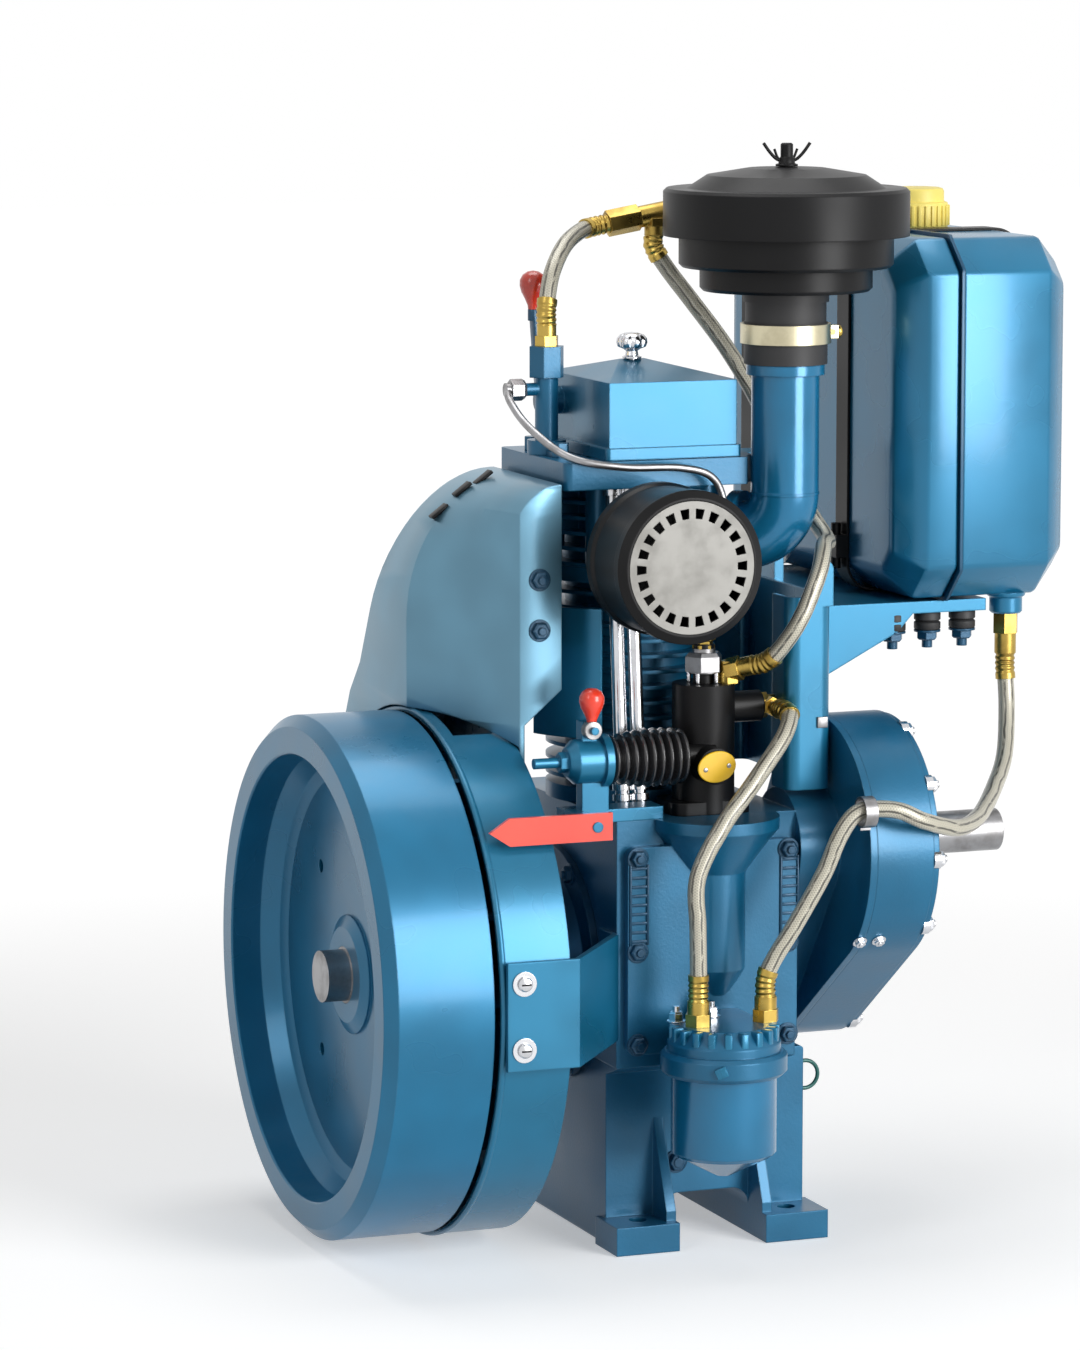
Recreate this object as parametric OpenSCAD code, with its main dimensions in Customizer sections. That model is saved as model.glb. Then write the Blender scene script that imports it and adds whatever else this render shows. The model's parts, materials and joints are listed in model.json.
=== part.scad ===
// Single-cylinder air-cooled diesel engine, flywheel at -X, timing case at +X, pump side at -Y.

/* [Crank and cylinder] */
// Height of the crankshaft axis above the foot plane
crank_z = 207.4; // [206:0.2:212]
// Position of the cylinder axis along the crankshaft
cyl_x = -25; // [-27:0.5:-24]
// Bore of the cylinder
bore_d = 87.5; // [84:0.5:90]
// Stroke of the piston
stroke = 110; // [104:1:112]
// Length of the connecting rod between its centres
rod_length = 200; // [198:1:206]
// Height of the piston crown above the gudgeon pin
crown_h = 56; // [52:1:58]
// Length of the piston
piston_h = 95; // [90:1:98]
// Gap between the crown at the top of its stroke and the head
head_gap = 1.6; // [1:0.2:3]
// Radius of the crankpin
crankpin_r = 22; // [20:0.5:23]
// Radius of the gudgeon pin
gudgeon_r = 14; // [12:0.5:15]
// Width of the connecting rod's big end along the crankshaft
big_end_w = 32; // [28:1:34]
// Thickness of each crank web
web_t = 20; // [16:1:22]
// Radius of the flywheel end of the crankshaft
shaft_r = 22; // [20:0.5:24]
// Running clearance of shafts and pins on the radius
run_clear = 0.05; // [0.02:0.01:0.1]
tangent_dip = 0.03;
// Gap between pieces that rest close together
seat_gap = 0.3; // [0.2:0.05:0.5]

/* [Crankcase and feet] */
// Left wall of the crankcase
case_left = -86; // [-88:0.5:-84]
// Right wall of the upper crankcase
case_right = 62; // [60:0.5:66]
// Right wall of the lower crankcase
low_right = 82; // [78:1:86]
// Half depth of the crankcase
case_half_y = 96; // [95:0.5:100]
// Distance of the front chest from the crankshaft axis
chest_y = 125; // [122:0.5:130]
// Height of the ledge below the chest
ledge_z = 145; // [140:1:150]
// Height of the top deck of the crankcase
deck_z = 336; // [334:1:340]
// Wall thickness of the crankcase
case_wall = 9; // [7:0.5:10]
// Distance between the foot bolts along the crankshaft
bolt_x = 124; // [120:1:128]
// Distance between the foot bolts across the crankshaft
bolt_y = 220; // [216:1:226]
// Radius of the foot bolt holes
bolt_r = 7; // [5.5:0.25:8]
// Width of a foot along the crankshaft
foot_w = 52; // [48:1:56]
// Thickness of a foot
foot_t = 22; // [18:1:25]
// Distance of the ends of the feet from the middle
foot_end_y = 132; // [130:1:136]
// Height of the arch between the feet
arch_h = 37; // [32:1:42]

/* [Timing gears and case] */
// Teeth of the crankshaft gear
crank_teeth = 30; // [30:1:30]
// Module of the timing gears
gear_module = 3; // [2.9:0.05:3]
// Sideways distance of the camshaft from the crankshaft
cam_side = 93; // [90:0.5:95]
// Width of the timing gears
gear_w = 18; // [14:1:20]
// Left face of the timing cover
cover_x = 101; // [100:0.5:103]
// Depth of the timing cover along the shaft
cover_depth = 52; // [50:1:56]
// Wall thickness of the timing cover
cover_wall = 5; // [4:0.5:6]
// Radius of the timing cover round the camshaft
cover_r = 98.5; // [98:0.5:100]
// Radius of the timing cover round the crankshaft
cover_low_r = 72; // [68:1:74]
// Radius of the starting shaft
start_r = 16.5; // [15:0.25:17]
// Journal radius of the camshaft's starting end
cam_journal_r = 17.5; // [17.25:0.25:18.5]
// End of the starting shaft
start_x = 246; // [236:1:250]

/* [Flywheel and fan] */
// Radius of the flywheel
fly_r = 202; // [196:1:203]
// Outer face of the flywheel
fly_x0 = -297.5; // [-300:0.5:-292]
// Inner face of the flywheel
fly_x1 = -213.5; // [-216:0.5:-213]
// Inner radius of the flywheel rim at its mouth
fly_mouth_r = 172; // [166:1:176]
// Depth of the dish of the flywheel
dish_depth = 42; // [38:1:46]
// Thickness of the flywheel web
fly_web_t = 17; // [14:1:20]
// Number of fan blades on the flywheel
blade_n = 16; // [12:4:24]
// Height of the fan blades along the shaft
blade_h = 38; // [30:1:42]
// Outer radius of the fan cowl
cowl_r = 204; // [203.5:0.5:206]
// Left edge of the fan cowl
cowl_x0 = -209; // [-210:0.5:-207]
// Right edge of the fan cowl
cowl_x1 = -153; // [-156:0.5:-152]
// Thickness of the sheet metal
sheet_t = 3; // [2:0.25:4]

/* [Cylinder and head] */
// Wall of the cylinder under its fins
barrel_wall = 7; // [6:0.5:9]
// Radius of the cylinder fins
fin_r = 66; // [62:0.5:67]
// Distance between two fins
fin_pitch = 12; // [10:0.5:14]
// Thickness of a fin
fin_t = 3; // [2:0.25:4]
// Height of the underside of the head's deck
head_deck_z = 584; // [580:1:590]
// Thickness of the head's deck
head_deck_t = 21; // [18:1:24]
// Distance of each valve from the cylinder axis
valve_off = 21; // [20:0.5:22]
// Radius of the valve heads
valve_r = 18; // [16:0.5:19]
// Radius of the valve stems
stem_r = 4; // [3.5:0.25:5]
// Height of the rocker shaft
rocker_z = 633; // [630:1:636]
// Length of each rocker arm
rocker_arm = 31; // [30:0.5:32]
// Height of the lower edge of the rocker cover
lid_z0 = 605.3; // [604:0.1:612]
// Height of the eaves of the rocker cover
lid_z1 = 664; // [660:1:668]
// Height of the ridge of the rocker cover
lid_z2 = 677; // [674:1:680]

/* [Air cleaner] */
// Position of the air cleaner along the crankshaft
air_x = 66; // [64:0.5:68]
// Position of the air cleaner in front of the crankshaft
air_y = 90; // [88:0.5:92]
// Radius of the inlet pipe
inlet_r = 26; // [24:0.5:27]
// Height of the horizontal run of the inlet pipe
inlet_z = 543; // [540:1:546]
// Radius of the bend of the inlet pipe
inlet_bend = 34; // [32:0.5:36]
// Top of the inlet pipe
inlet_top = 706; // [700:1:708]
// Lower face of the air cleaner bowl
bowl_z = 732; // [730:1:736]
// Radius of the air cleaner's top ring
ring_r = 94; // [88:1:98]

/* [Silencer] */
// Position of the silencer along the crankshaft
sil_x = -52; // [-54:0.5:-50]
// Height of the silencer
sil_z = 535; // [533:0.5:538]
// Radius of the silencer
sil_r = 56; // [52:1:58]
// Front face of the silencer
sil_y0 = 190; // [184:1:196]
// Back face of the silencer
sil_y1 = 114; // [112:1:118]
// Number of holes round the silencer face
sil_holes = 22; // [18:1:24]

/* [Fuel pump and governor] */
// Position of the fuel pump along the crankshaft
pump_x = -5; // [-6:0.5:-4]
// Position of the fuel pump in front of the crankshaft
pump_y = 100; // [99:0.5:102]
// Radius of the fuel pump
pump_r = 24; // [22:0.5:25]
// Height of the top of the fuel pump's body
pump_top = 435; // [430:1:438]
// Distance of the governor in front of the crankshaft
gov_y = 121; // [120:0.5:124]
// Height of the governor's axis
gov_z = 383; // [380:1:386]
// Number of folds of the governor's bellows
fold_n = 9; // [6:1:12]

/* [Fuel tank] */
// Left face of the fuel tank
tank_x0 = 167; // [165:1:170]
// Right face of the fuel tank
tank_x1 = 313; // [300:1:318]
// Front face of the fuel tank
tank_y0 = -88; // [-90:1:-84]
// Back face of the fuel tank
tank_y1 = 270; // [250:1:275]
// Underside of the fuel tank
tank_z0 = 486; // [485:1:488]
// Top of the fuel tank
tank_z1 = 767; // [750:1:770]
// Rounding of the tank's edges
tank_edge = 22; // [16:1:28]

/* [Fuel filter and hoses] */
// Position of the fuel filter along the crankshaft
filter_x = -23; // [-24:0.5:-21]
// Position of the fuel filter in front of the crankshaft
filter_y = 186; // [185:0.5:189]
// Radius of the filter bowl
filter_r = 40; // [36:0.5:40]
// Height of the flange of the fuel filter
filter_z = 168; // [166:0.5:170]
// Radius of the fuel hoses
hose_r = 6.5; // [5:0.25:7]

/* [Hidden] */
$fn = 64;
overrun = 1;
flat_share = 0.5;

cyl_y = 0;
crank_r = stroke / 2;
pin_z = crank_z - crank_r;
gudgeon_z = pin_z + rod_length;
crown_z = gudgeon_z + crown_h;
head_z = crown_z + stroke + head_gap;
pressure_angle = 20;
cam_teeth = 2 * crank_teeth;
gear_backlash = 0.24;
gear_centres = gear_module * (crank_teeth + cam_teeth) / 2 + gear_backlash / 4;
cam_y = -cam_side;
cam_z = crank_z + sqrt(gear_centres * gear_centres - cam_side * cam_side);
cam_angle = atan2(cam_z - crank_z, cam_y);

// Straight solids laid along an axis
module rod_x(x0, x1, r) translate([x0, 0, 0]) rotate([0, 90, 0]) cylinder(h = x1 - x0, r = r);
module rod_y(y0, y1, r) translate([0, y0, 0]) rotate([-90, 0, 0]) cylinder(h = y1 - y0, r = r);
module rod_z(z0, z1, r) translate([0, 0, z0]) cylinder(h = z1 - z0, r = r);
module box(x0, x1, y0, y1, z0, z1) translate([x0, y0, z0]) cube([x1 - x0, y1 - y0, z1 - z0]);

// Profile drawn as radius and height, turned about the X axis with its height along +X
module turned_x() rotate([0, 90, 0]) rotate_extrude() children();
// Profile drawn as radius and height, turned about the Y axis with its height along -Y
module turned_front() rotate([90, 0, 0]) rotate_extrude() children();
// Outline drawn in Y and Z, pushed along +X
module pushed_x(x0, x1) translate([x0, 0, 0]) rotate([90, 0, 90]) linear_extrude(x1 - x0) children();
// Outline drawn in X and Z, pushed from y0 back to y1
module pushed_y(y0, y1) translate([0, y1, 0]) rotate([90, 0, 0]) linear_extrude(y1 - y0) children();

module round_rect(x0, x1, y0, y1, r) {
    translate([x0 + r, y0]) square([x1 - x0 - 2 * r, y1 - y0]);
    translate([x0, y0 + r]) square([x1 - x0, y1 - y0 - 2 * r]);
    for (x = [x0 + r, x1 - r], y = [y0 + r, y1 - r]) translate([x, y]) circle(r);
}

// Two circles joined by their outer tangents
module belt_outline(c1, r1, c2, r2) {
    d = norm(c2 - c1);
    u = (c2 - c1) / d;
    v = [-u[1], u[0]];
    along = (r1 - r2) / d;
    side = sqrt(1 - along * along);
    translate(c1) circle(r1);
    translate(c2) circle(r2);
    n1 = u * along + v * side;
    n2 = u * along - v * side;
    // The flanks cross the circles a little inside their tangents
    polygon([c1 + n1 * (r1 - tangent_dip), c2 + n1 * (r2 - tangent_dip),
        c2 + n2 * (r2 - tangent_dip), c1 + n2 * (r1 - tangent_dip)]);
}

function unit(v) = v / norm(v);

// Direction of a route at one of its points
function heading(path, i) = unit(path[min(i + 1, len(path) - 1)] - path[max(i - 1, 0)]);

// Faces between rings of points, each ring with the same count
function ring_faces(rings, sides) = [for (i = [0 : rings - 2], k = [0 : sides - 1])
        each [[i * sides + k, (i + 1) * sides + (k + 1) % sides, i * sides + (k + 1) % sides],
            [i * sides + k, (i + 1) * sides + k, (i + 1) * sides + (k + 1) % sides]],
    [for (k = [0 : sides - 1]) k], [for (k = [sides - 1 : -1 : 0]) (rings - 1) * sides + k]];

module swept_tube(path, r, sides, across) {
    points = [for (i = [0 : len(path) - 1])
        let (t = heading(path, i), a = unit(cross(t, across)), b = cross(t, a)) for (k = [0 : sides - 1])
            path[i] + r * (a * cos(360 * k / sides) + b * sin(360 * k / sides))];
    polyhedron(points, ring_faces(len(path), sides));
}

// Gears with involute flanks
function inv_deg(angle) = tan(angle) * 180 / PI - angle;
function half_tooth(r, teeth) =
    let (base = gear_module * teeth / 2 * cos(pressure_angle), pitch = gear_module * teeth / 2)
    90 / teeth - gear_backlash / pitch * 180 / PI / 4 + inv_deg(pressure_angle)
        - inv_deg(acos(min(1, base / max(r, base))));
function gear_points(teeth) =
    let (pitch = gear_module * teeth / 2,
        radii = [pitch - 1.25 * gear_module, pitch - 0.6 * gear_module, pitch,
            pitch + 0.55 * gear_module, pitch + gear_module]) [for (i = [0 : teeth - 1]) each [
        for (r = radii) let (a = 360 * i / teeth - half_tooth(r, teeth)) r * [cos(a), sin(a)],
        for (k = [4 : -1 : 0]) let (r = radii[k], a = 360 * i / teeth + half_tooth(r, teeth))
            r * [cos(a), sin(a)]]];
gear_gap = 14;
gear_x = cover_x + gear_gap;

// Crankcase with its feet, front chest, timing flange and bearing bores
foot_inner_x = bolt_x / 2 - foot_w / 2;
foot_outer_x = bolt_x / 2 + foot_w / 2;
foot_lip_x = 3;
gusset_t = 8;
gusset_h = 76;
arch_round = 14;
sump_z = arch_h + 12;
cam_bore_l = 12;
cam_room = 23;
tappet_h = 4.7;
case_door_x0 = -64;
case_door_x1 = 44;
case_door_z0 = 172;
case_door_z1 = 300;
housing_r = 80;
flange_t = 6;
neck_r = 44;
neck_low_r = 62;
bush_t = 5;
journal_r = 22;
start_room = 30;
skirt_clear = 0.2;
barrel_r = bore_d / 2 + barrel_wall;
spigot_depth = 18;
tappet_off = [42, 28];
tappet_x = [for (d = tappet_off) cyl_x - d];
tappet_hole_r = 6.3;
dip_x = 74;
dip_y = -70;
dip_z = 104;
dip_r = 4;
pump_hole_r = 14;
drain_z = 62;
waist_round = 10;

module foot(sx, sy) {
    x0 = sx > 0 ? foot_inner_x : -foot_outer_x;
    x1 = sx > 0 ? foot_outer_x : -foot_inner_x;
    y0 = sy > 0 ? case_half_y - case_wall : -foot_end_y;
    y1 = sy > 0 ? foot_end_y : -case_half_y + case_wall;
    box(x0, x1, y0, y1, 0, foot_t);
    // Gusset on the inner side of the foot
    gx = sx > 0 ? foot_inner_x : -foot_inner_x - gusset_t;
    wall_y = case_half_y - case_wall;
    mirror([0, sy > 0 ? 1 : 0, 0]) pushed_x(gx, gx + gusset_t)
            polygon([[-wall_y, foot_t], [-foot_end_y + gusset_t, foot_t],
                [-foot_end_y + gusset_t, foot_t + gusset_t], [-case_half_y, foot_t + gusset_h],
                [-wall_y, foot_t + gusset_h]]);
}

module lower_outline() {
    difference() {
        round_rect(case_left + foot_lip_x, low_right, 0, ledge_z, foot_lip_x);
        translate([-foot_inner_x, -overrun]) square([2 * foot_inner_x, arch_h - arch_round + overrun]);
        translate([-foot_inner_x + arch_round, 0]) square([2 * (foot_inner_x - arch_round), arch_h]);
        for (s = [-1, 1])
            translate([s * (foot_inner_x - arch_round), arch_h - arch_round]) circle(arch_round);
    }
}

module timing_outline(grow) {
    belt_outline([cam_y, cam_z], cover_r + grow, [0, crank_z], cover_low_r + grow);
}

module crankcase() color([0.10, 0.36, 0.52]) difference() {
    union() {
        pushed_y(-case_half_y, case_half_y) lower_outline();
        for (sx = [-1, 1], sy = [-1, 1]) foot(sx, sy);
        // Upper case and front chest
        box(case_left, case_right, -chest_y, case_half_y, ledge_z, deck_z);
        // Ledge that spreads out to the chest
        pushed_x(case_left + foot_lip_x, case_right)
            polygon([[-case_half_y + case_wall, ledge_z - waist_round],
                [-case_half_y, ledge_z - waist_round], [-chest_y, ledge_z],
                [-case_half_y + case_wall, ledge_z]]);
        // Neck and flange that carry the timing case
        pushed_x(case_right - overrun, cover_x - flange_t)
            belt_outline([cam_y, cam_z], neck_r, [0, crank_z], neck_low_r);
        pushed_x(cover_x - flange_t, cover_x) timing_outline(0);
    }
    // Crank room
    box(case_left + case_wall, case_right - case_wall, -case_half_y + case_wall,
        case_half_y - case_wall, sump_z, deck_z - case_wall);
    // Cam room in the chest
    box(case_left + case_wall, case_right - case_wall, -chest_y + case_wall,
        -case_half_y + 3 * case_wall, ledge_z + case_wall, deck_z - case_wall);
    // Window behind the door
    box(case_door_x0, case_door_x1, -chest_y - overrun, -chest_y + 2 * case_wall,
        case_door_z0, case_door_z1);
    // Room inside the neck for the shafts
    pushed_x(case_right, cover_x + overrun)
        belt_outline([cam_y, cam_z], neck_r - case_wall, [0, crank_z], neck_low_r - case_wall);
    translate([0, 0, crank_z]) {
        rod_x(case_left - overrun, case_left + case_wall + overrun, housing_r);
        rod_x(case_right - case_wall - overrun, case_right + overrun, journal_r + bush_t);
    }
    translate([0, cam_y, cam_z]) {
        rod_x(case_left + case_wall / 3, case_left + case_wall + overrun, cam_bore_l + run_clear);
        rod_x(case_right - case_wall - overrun, case_right + overrun, cam_journal_r + run_clear);
    }
    // Cylinder spigot, tappets and fuel pump in the top deck
    translate([cyl_x, 0, 0]) rod_z(deck_z - case_wall - overrun, deck_z + overrun, barrel_r + skirt_clear);
    for (x = tappet_x) translate([x, cam_y, cam_z]) rotate([-tube_tilt, 0, 0])
        rod_z(cam_room / 2, 2 * cam_room, tappet_hole_r);
    translate([pump_x, cam_y, 0]) rod_z(deck_z - case_wall - overrun, deck_z + overrun, pump_hole_r);
    for (sx = [-1, 1], sy = [-1, 1]) translate([sx * bolt_x / 2, sy * bolt_y / 2, 0])
        rod_z(-overrun, foot_t + overrun, bolt_r);
    // Dipstick and drain
    translate([dip_x, dip_y, dip_z]) rotate([0, dip_tilt, 0])
        rod_z(-dip_reach - overrun, dip_reach, dip_r + run_clear);
}

// Front door with the pump's shelf and its round boss
door_t = 8;
door_lip = 16;
shelf_r = 50;
shelf_t = 9;
shelf_cone = 34;
boss_r = 24;
boss_y = 122;
boss_z0 = 206;
shelf_gap_z = deck_z - shelf_t;
door_x0 = case_door_x0 - door_lip;
door_x1 = case_door_x1 + door_lip;
door_z0 = case_door_z0 - door_lip;
door_z1 = case_door_z1 + door_lip;

module crankcase_door() color([0.12, 0.42, 0.58]) {
    pushed_y(-chest_y - door_t, -chest_y) round_rect(door_x0, door_x1, door_z0, door_z1, door_t);
    difference() {
        translate([pump_x, -boss_y, 0]) rotate_extrude()
            polygon([[0, boss_z0 - boss_r / 2], [boss_r / 2, boss_z0 - boss_r / 3],
                [boss_r, boss_z0 + boss_r / 2], [boss_r, shelf_gap_z - shelf_cone],
                [shelf_r * 0.86, shelf_gap_z - shelf_cone / 4], [shelf_r, shelf_gap_z],
                [shelf_r, deck_z], [0, deck_z]]);
        box(pump_x - 2 * shelf_r, pump_x + 2 * shelf_r, -chest_y - door_t + overrun, chest_y,
            boss_z0 - shelf_r, door_z1 - overrun);
        box(pump_x - 2 * shelf_r, pump_x + 2 * shelf_r, -chest_y, chest_y,
            door_z1 - 2 * overrun, deck_z + overrun);
    }
}

// Timing cover over the gears
cover_boss_r = 27;
cover_boss_h = 7;
cover_bevel = 5;

module timing_cover() color([0.10, 0.38, 0.55]) difference() {
    union() {
        pushed_x(cover_x, cover_x + cover_depth - cover_bevel) timing_outline(0);
        pushed_x(cover_x + cover_depth - 2 * cover_bevel, cover_x + cover_depth)
            timing_outline(-cover_bevel / 3);
        translate([0, cam_y, cam_z])
            rod_x(cover_x + cover_depth - cover_wall, cover_x + cover_depth + cover_boss_h, cover_boss_r);
    }
    pushed_x(cover_x - overrun, cover_x + cover_depth - cover_wall) timing_outline(-cover_wall);
    translate([0, cam_y, cam_z])
        rod_x(cover_x, cover_x + cover_depth + cover_boss_h + overrun, cam_journal_r + run_clear);
}

// Housing of the flywheel-side main bearing
nose_x = cowl_x1 + seat_gap;
nose_r = 46;
left_journal_r = 27;
housing_flange_r = 92;
housing_bush_x0 = nose_x + 6;
housing_bush_x1 = case_left - 2;

module bearing_housing() color([0.09, 0.30, 0.44]) translate([0, 0, crank_z]) difference() {
    union() {
        rod_x(case_left, case_left + case_wall, housing_r - run_clear);
        rod_x(case_left - flange_t, case_left, housing_flange_r);
        translate([nose_x, 0, 0]) turned_x()
            polygon([[0, 0], [nose_r, 0], [nose_r, flange_t], [nose_r - flange_t / 2, 2 * flange_t],
                [housing_flange_r - 3 * flange_t, case_left - nose_x - flange_t / 2],
                [0, case_left - nose_x - flange_t / 2]]);
    }
    rod_x(nose_x - overrun, case_left + case_wall + overrun, left_journal_r + bush_t);
}

module bush(x0, x1, r) difference() {
    rod_x(x0, x1, r + bush_t);
    rod_x(x0 - overrun, x1 + overrun, r + run_clear);
}

module main_bushes() color([0.72, 0.55, 0.25]) translate([0, 0, crank_z]) {
    bush(housing_bush_x0, housing_bush_x1, left_journal_r);
    bush(case_right - case_wall, case_right, journal_r);
}

// Finned cylinder barrel
base_flange_t = 12;
fin_z0 = deck_z + base_flange_t + fin_pitch / 2;
fin_count = floor((head_z - fin_z0 - fin_t) / fin_pitch) + 1;
tube_r = 5.5;
tube_gap = 2.6;
rocker_y = cyl_y - rocker_arm;
rod_top_y = rocker_y - rocker_arm;
rocker_nose_r = 5.5;
rod_top_z = rocker_z - rocker_nose_r;
tube_tilt = atan2(rod_top_y - cam_y, rod_top_z - cam_z);
tube_len = (head_deck_z - deck_z) / cos(tube_tilt);

module along_pushrod(x) translate([x, cam_y, cam_z]) rotate([-tube_tilt, 0, 0]) children();

module tube_notches(r) for (x = tappet_x) along_pushrod(x)
    rod_z((deck_z - cam_z) / cos(tube_tilt) - overrun, (head_deck_z - cam_z) / cos(tube_tilt), r);

module cylinder_barrel() color([0.10, 0.36, 0.52]) difference() {
    translate([cyl_x, 0, 0]) union() {
        rod_z(deck_z - spigot_depth, head_z - seat_gap, barrel_r);
        rod_z(deck_z, deck_z + base_flange_t, fin_r);
        rod_z(head_z - base_flange_t, head_z - seat_gap, fin_r + fin_t);
        for (i = [0 : fin_count - 1]) rod_z(fin_z0 + i * fin_pitch, fin_z0 + i * fin_pitch + fin_t, fin_r);
    }
    translate([cyl_x, 0, 0]) rod_z(deck_z - spigot_depth - overrun, head_z + overrun, bore_d / 2);
    translate([cyl_x, 0, 0]) stud_places() rod_z(head_z - base_flange_t - overrun, head_z, stud_r + seat_gap);
    tube_notches(tube_r + tube_gap);
}

// Cylinder head with fins, deck, ports and valve guides
deck_x0 = -112;
deck_x1 = 50;
deck_y0 = -84;
deck_y1 = 58;
head_core_r = 54;
port_r = 15;
exhaust_x = -18;
port_boss_r = 24;
exhaust_face_y = 80;
inlet_dir = 135;
exhaust_valve_x = cyl_x - valve_off;
inlet_valve_x = cyl_x + valve_off;
valve_seat_t = 4;
inj_x = -98;
inj_y = -8;
inj_r = 11;
stud_r = 6;
stud_circle = 62;
stud_turn = 45;
inlet_flange_t = 8;
inlet_port_x = air_x - inlet_bend / sqrt(2);
inlet_port_y = -air_y + inlet_bend / sqrt(2);

module stud_places() for (i = [0 : 3]) rotate([0, 0, stud_turn + 90 * i]) translate([stud_circle, 0, 0])
    children();

module cylinder_head() color([0.10, 0.36, 0.52]) difference() {
    union() {
        translate([cyl_x, 0, 0]) {
            rod_z(head_z, head_deck_z, head_core_r);
            for (z = [head_z : fin_pitch : head_deck_z - fin_t]) rod_z(z, z + fin_t, fin_r + fin_t);
            stud_places() rod_z(head_z, head_deck_z, stud_r + case_wall / 2);
        }
        // Swirl chamber under the injector
        translate([inj_x, inj_y, 0]) rod_z(head_z + fin_pitch, head_deck_z + overrun, inj_r + flange_t / 2);
        box(inj_x, cyl_x, inj_y - inj_r, inj_y + inj_r, head_z + 2 * fin_pitch, head_deck_z);
        translate([0, 0, head_deck_z]) linear_extrude(head_deck_t)
            round_rect(deck_x0, deck_x1, deck_y0, deck_y1, flange_t);
        translate([exhaust_x, 0, sil_z]) rod_y(-exhaust_face_y, 0, port_boss_r);
        translate([inlet_port_x, inlet_port_y, inlet_z]) rotate([0, 0, inlet_dir])
            rod_x(inlet_flange_t + seat_gap, head_core_r, inlet_r);
    }
    // Relief beside the inlet pipe
    translate([air_x, -air_y, 0]) rod_z(head_deck_z - overrun, head_deck_z + head_deck_t + overrun,
        inlet_r + sheet_t);
    // Exhaust and inlet ports
    translate([exhaust_x, 0, sil_z]) rod_y(-exhaust_face_y - overrun, -head_core_r / 2, port_r);
    translate([inlet_port_x, inlet_port_y, inlet_z]) rotate([0, 0, inlet_dir])
        rod_x(-overrun, head_core_r / 2, inlet_r - case_wall);
    // Valve seats and guides
    for (x = [exhaust_valve_x, inlet_valve_x]) translate([x, 0, 0]) {
        rod_z(head_z - overrun, head_z + valve_seat_t, valve_r + seat_gap);
        rod_z(head_z, head_deck_z + head_deck_t + overrun, stem_r + run_clear);
    }
    for (x = tappet_x) along_pushrod(x) rod_z((head_deck_z - cam_z) / cos(tube_tilt) - 2 * overrun,
            (head_deck_z + head_deck_t - cam_z) / cos(tube_tilt) + 2 * overrun, tube_r - overrun / 2);
    tube_notches(tube_r + tube_gap);
    translate([inj_x, inj_y, 0])
        rod_z(head_deck_z - fin_pitch, head_deck_z + head_deck_t + overrun, inj_r - 2 * overrun);
    translate([cyl_x, 0, 0]) stud_places() {
        rod_z(head_z - overrun, head_deck_z + head_deck_t + overrun, stud_r + seat_gap);
        rod_z(head_deck_z + head_deck_t / 2, head_deck_z + head_deck_t + overrun, nut_r + overrun);
    }
    // Joint face above the barrel
    translate([cyl_x, 0, 0]) rod_z(head_z - head_core_r, head_z, fin_r + 2 * fin_t);
}

// Head studs with their nuts in the deck's counterbores
nut_r = 9;
nut_h = 8;

module hex_nut(r, h) cylinder(h = h, r = r, $fn = 6);

module head_studs() color([0.62, 0.64, 0.66]) translate([cyl_x, 0, 0]) stud_places() {
    rod_z(head_z - base_flange_t, head_deck_z + head_deck_t - 2 * seat_gap, stud_r);
    translate([0, 0, head_deck_z + head_deck_t / 2]) hex_nut(nut_r, nut_h);
}

// Rocker cover with a low hipped roof
lid_x0 = -74;
lid_x1 = 31;
lid_y0 = -78;
lid_y1 = 50;
lid_wall = 3.5;
ridge_x = -30;
lid_mid_y = (lid_y0 + lid_y1) / 2;
ridge_half = 10;
knob_hole_r = 4;
rim_h = 9;
rim_out = 3;

module lid_solid(inset, z0, drop) {
    x0 = lid_x0 + inset;
    x1 = lid_x1 - inset;
    y0 = lid_y0 + inset;
    y1 = lid_y1 - inset;
    z1 = lid_z1 - drop;
    z2 = lid_z2 - drop;
    polyhedron([[x0, y0, z0], [x1, y0, z0], [x1, y1, z0], [x0, y1, z0],
        [x0, y0, z1], [x1, y0, z1], [x1, y1, z1], [x0, y1, z1],
        [ridge_x - ridge_half, lid_mid_y, z2], [ridge_x + ridge_half, lid_mid_y, z2]],
        [[0, 1, 2, 3], [1, 0, 4, 5], [2, 1, 5, 6], [3, 2, 6, 7], [0, 3, 7, 4],
            [4, 8, 9, 5], [5, 9, 6], [6, 9, 8, 7], [7, 8, 4]]);
}

module rocker_cover() color([0.16, 0.46, 0.62]) difference() {
    union() {
        lid_solid(0, lid_z0, 0);
        translate([0, 0, lid_z0]) linear_extrude(rim_h)
            round_rect(lid_x0 - rim_out, lid_x1 + rim_out, lid_y0 - rim_out, lid_y1 + rim_out, rim_out);
        translate([0, lever_y, lever_z]) rod_x(lid_x0 - lever_boss, lid_x0 + overrun, lever_boss_r);
    }
    lid_solid(lid_wall, lid_z0 - overrun, lid_wall);
    translate([ridge_x, lid_mid_y, 0]) rod_z(lid_z1 - lid_wall, lid_z2 + overrun, knob_hole_r);
    translate([0, lever_y, lever_z])
        rod_x(lid_x0 - lever_boss - overrun, lid_x0 + 2 * lid_wall, lever_pin_r + run_clear);
}

// Rocker bracket: shaft in two pedestals, with the stud that holds the cover
rocker_shaft_r = 8;
rocker_hub_r = 11;
rocker_x = [[-70, -61], [-58, -20]];
pedestal_x = [[-60.5, -58.5], [-19.5, -8]];
shaft_x0 = rocker_x[0][0];
shaft_x1 = pedestal_x[1][1];

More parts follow.
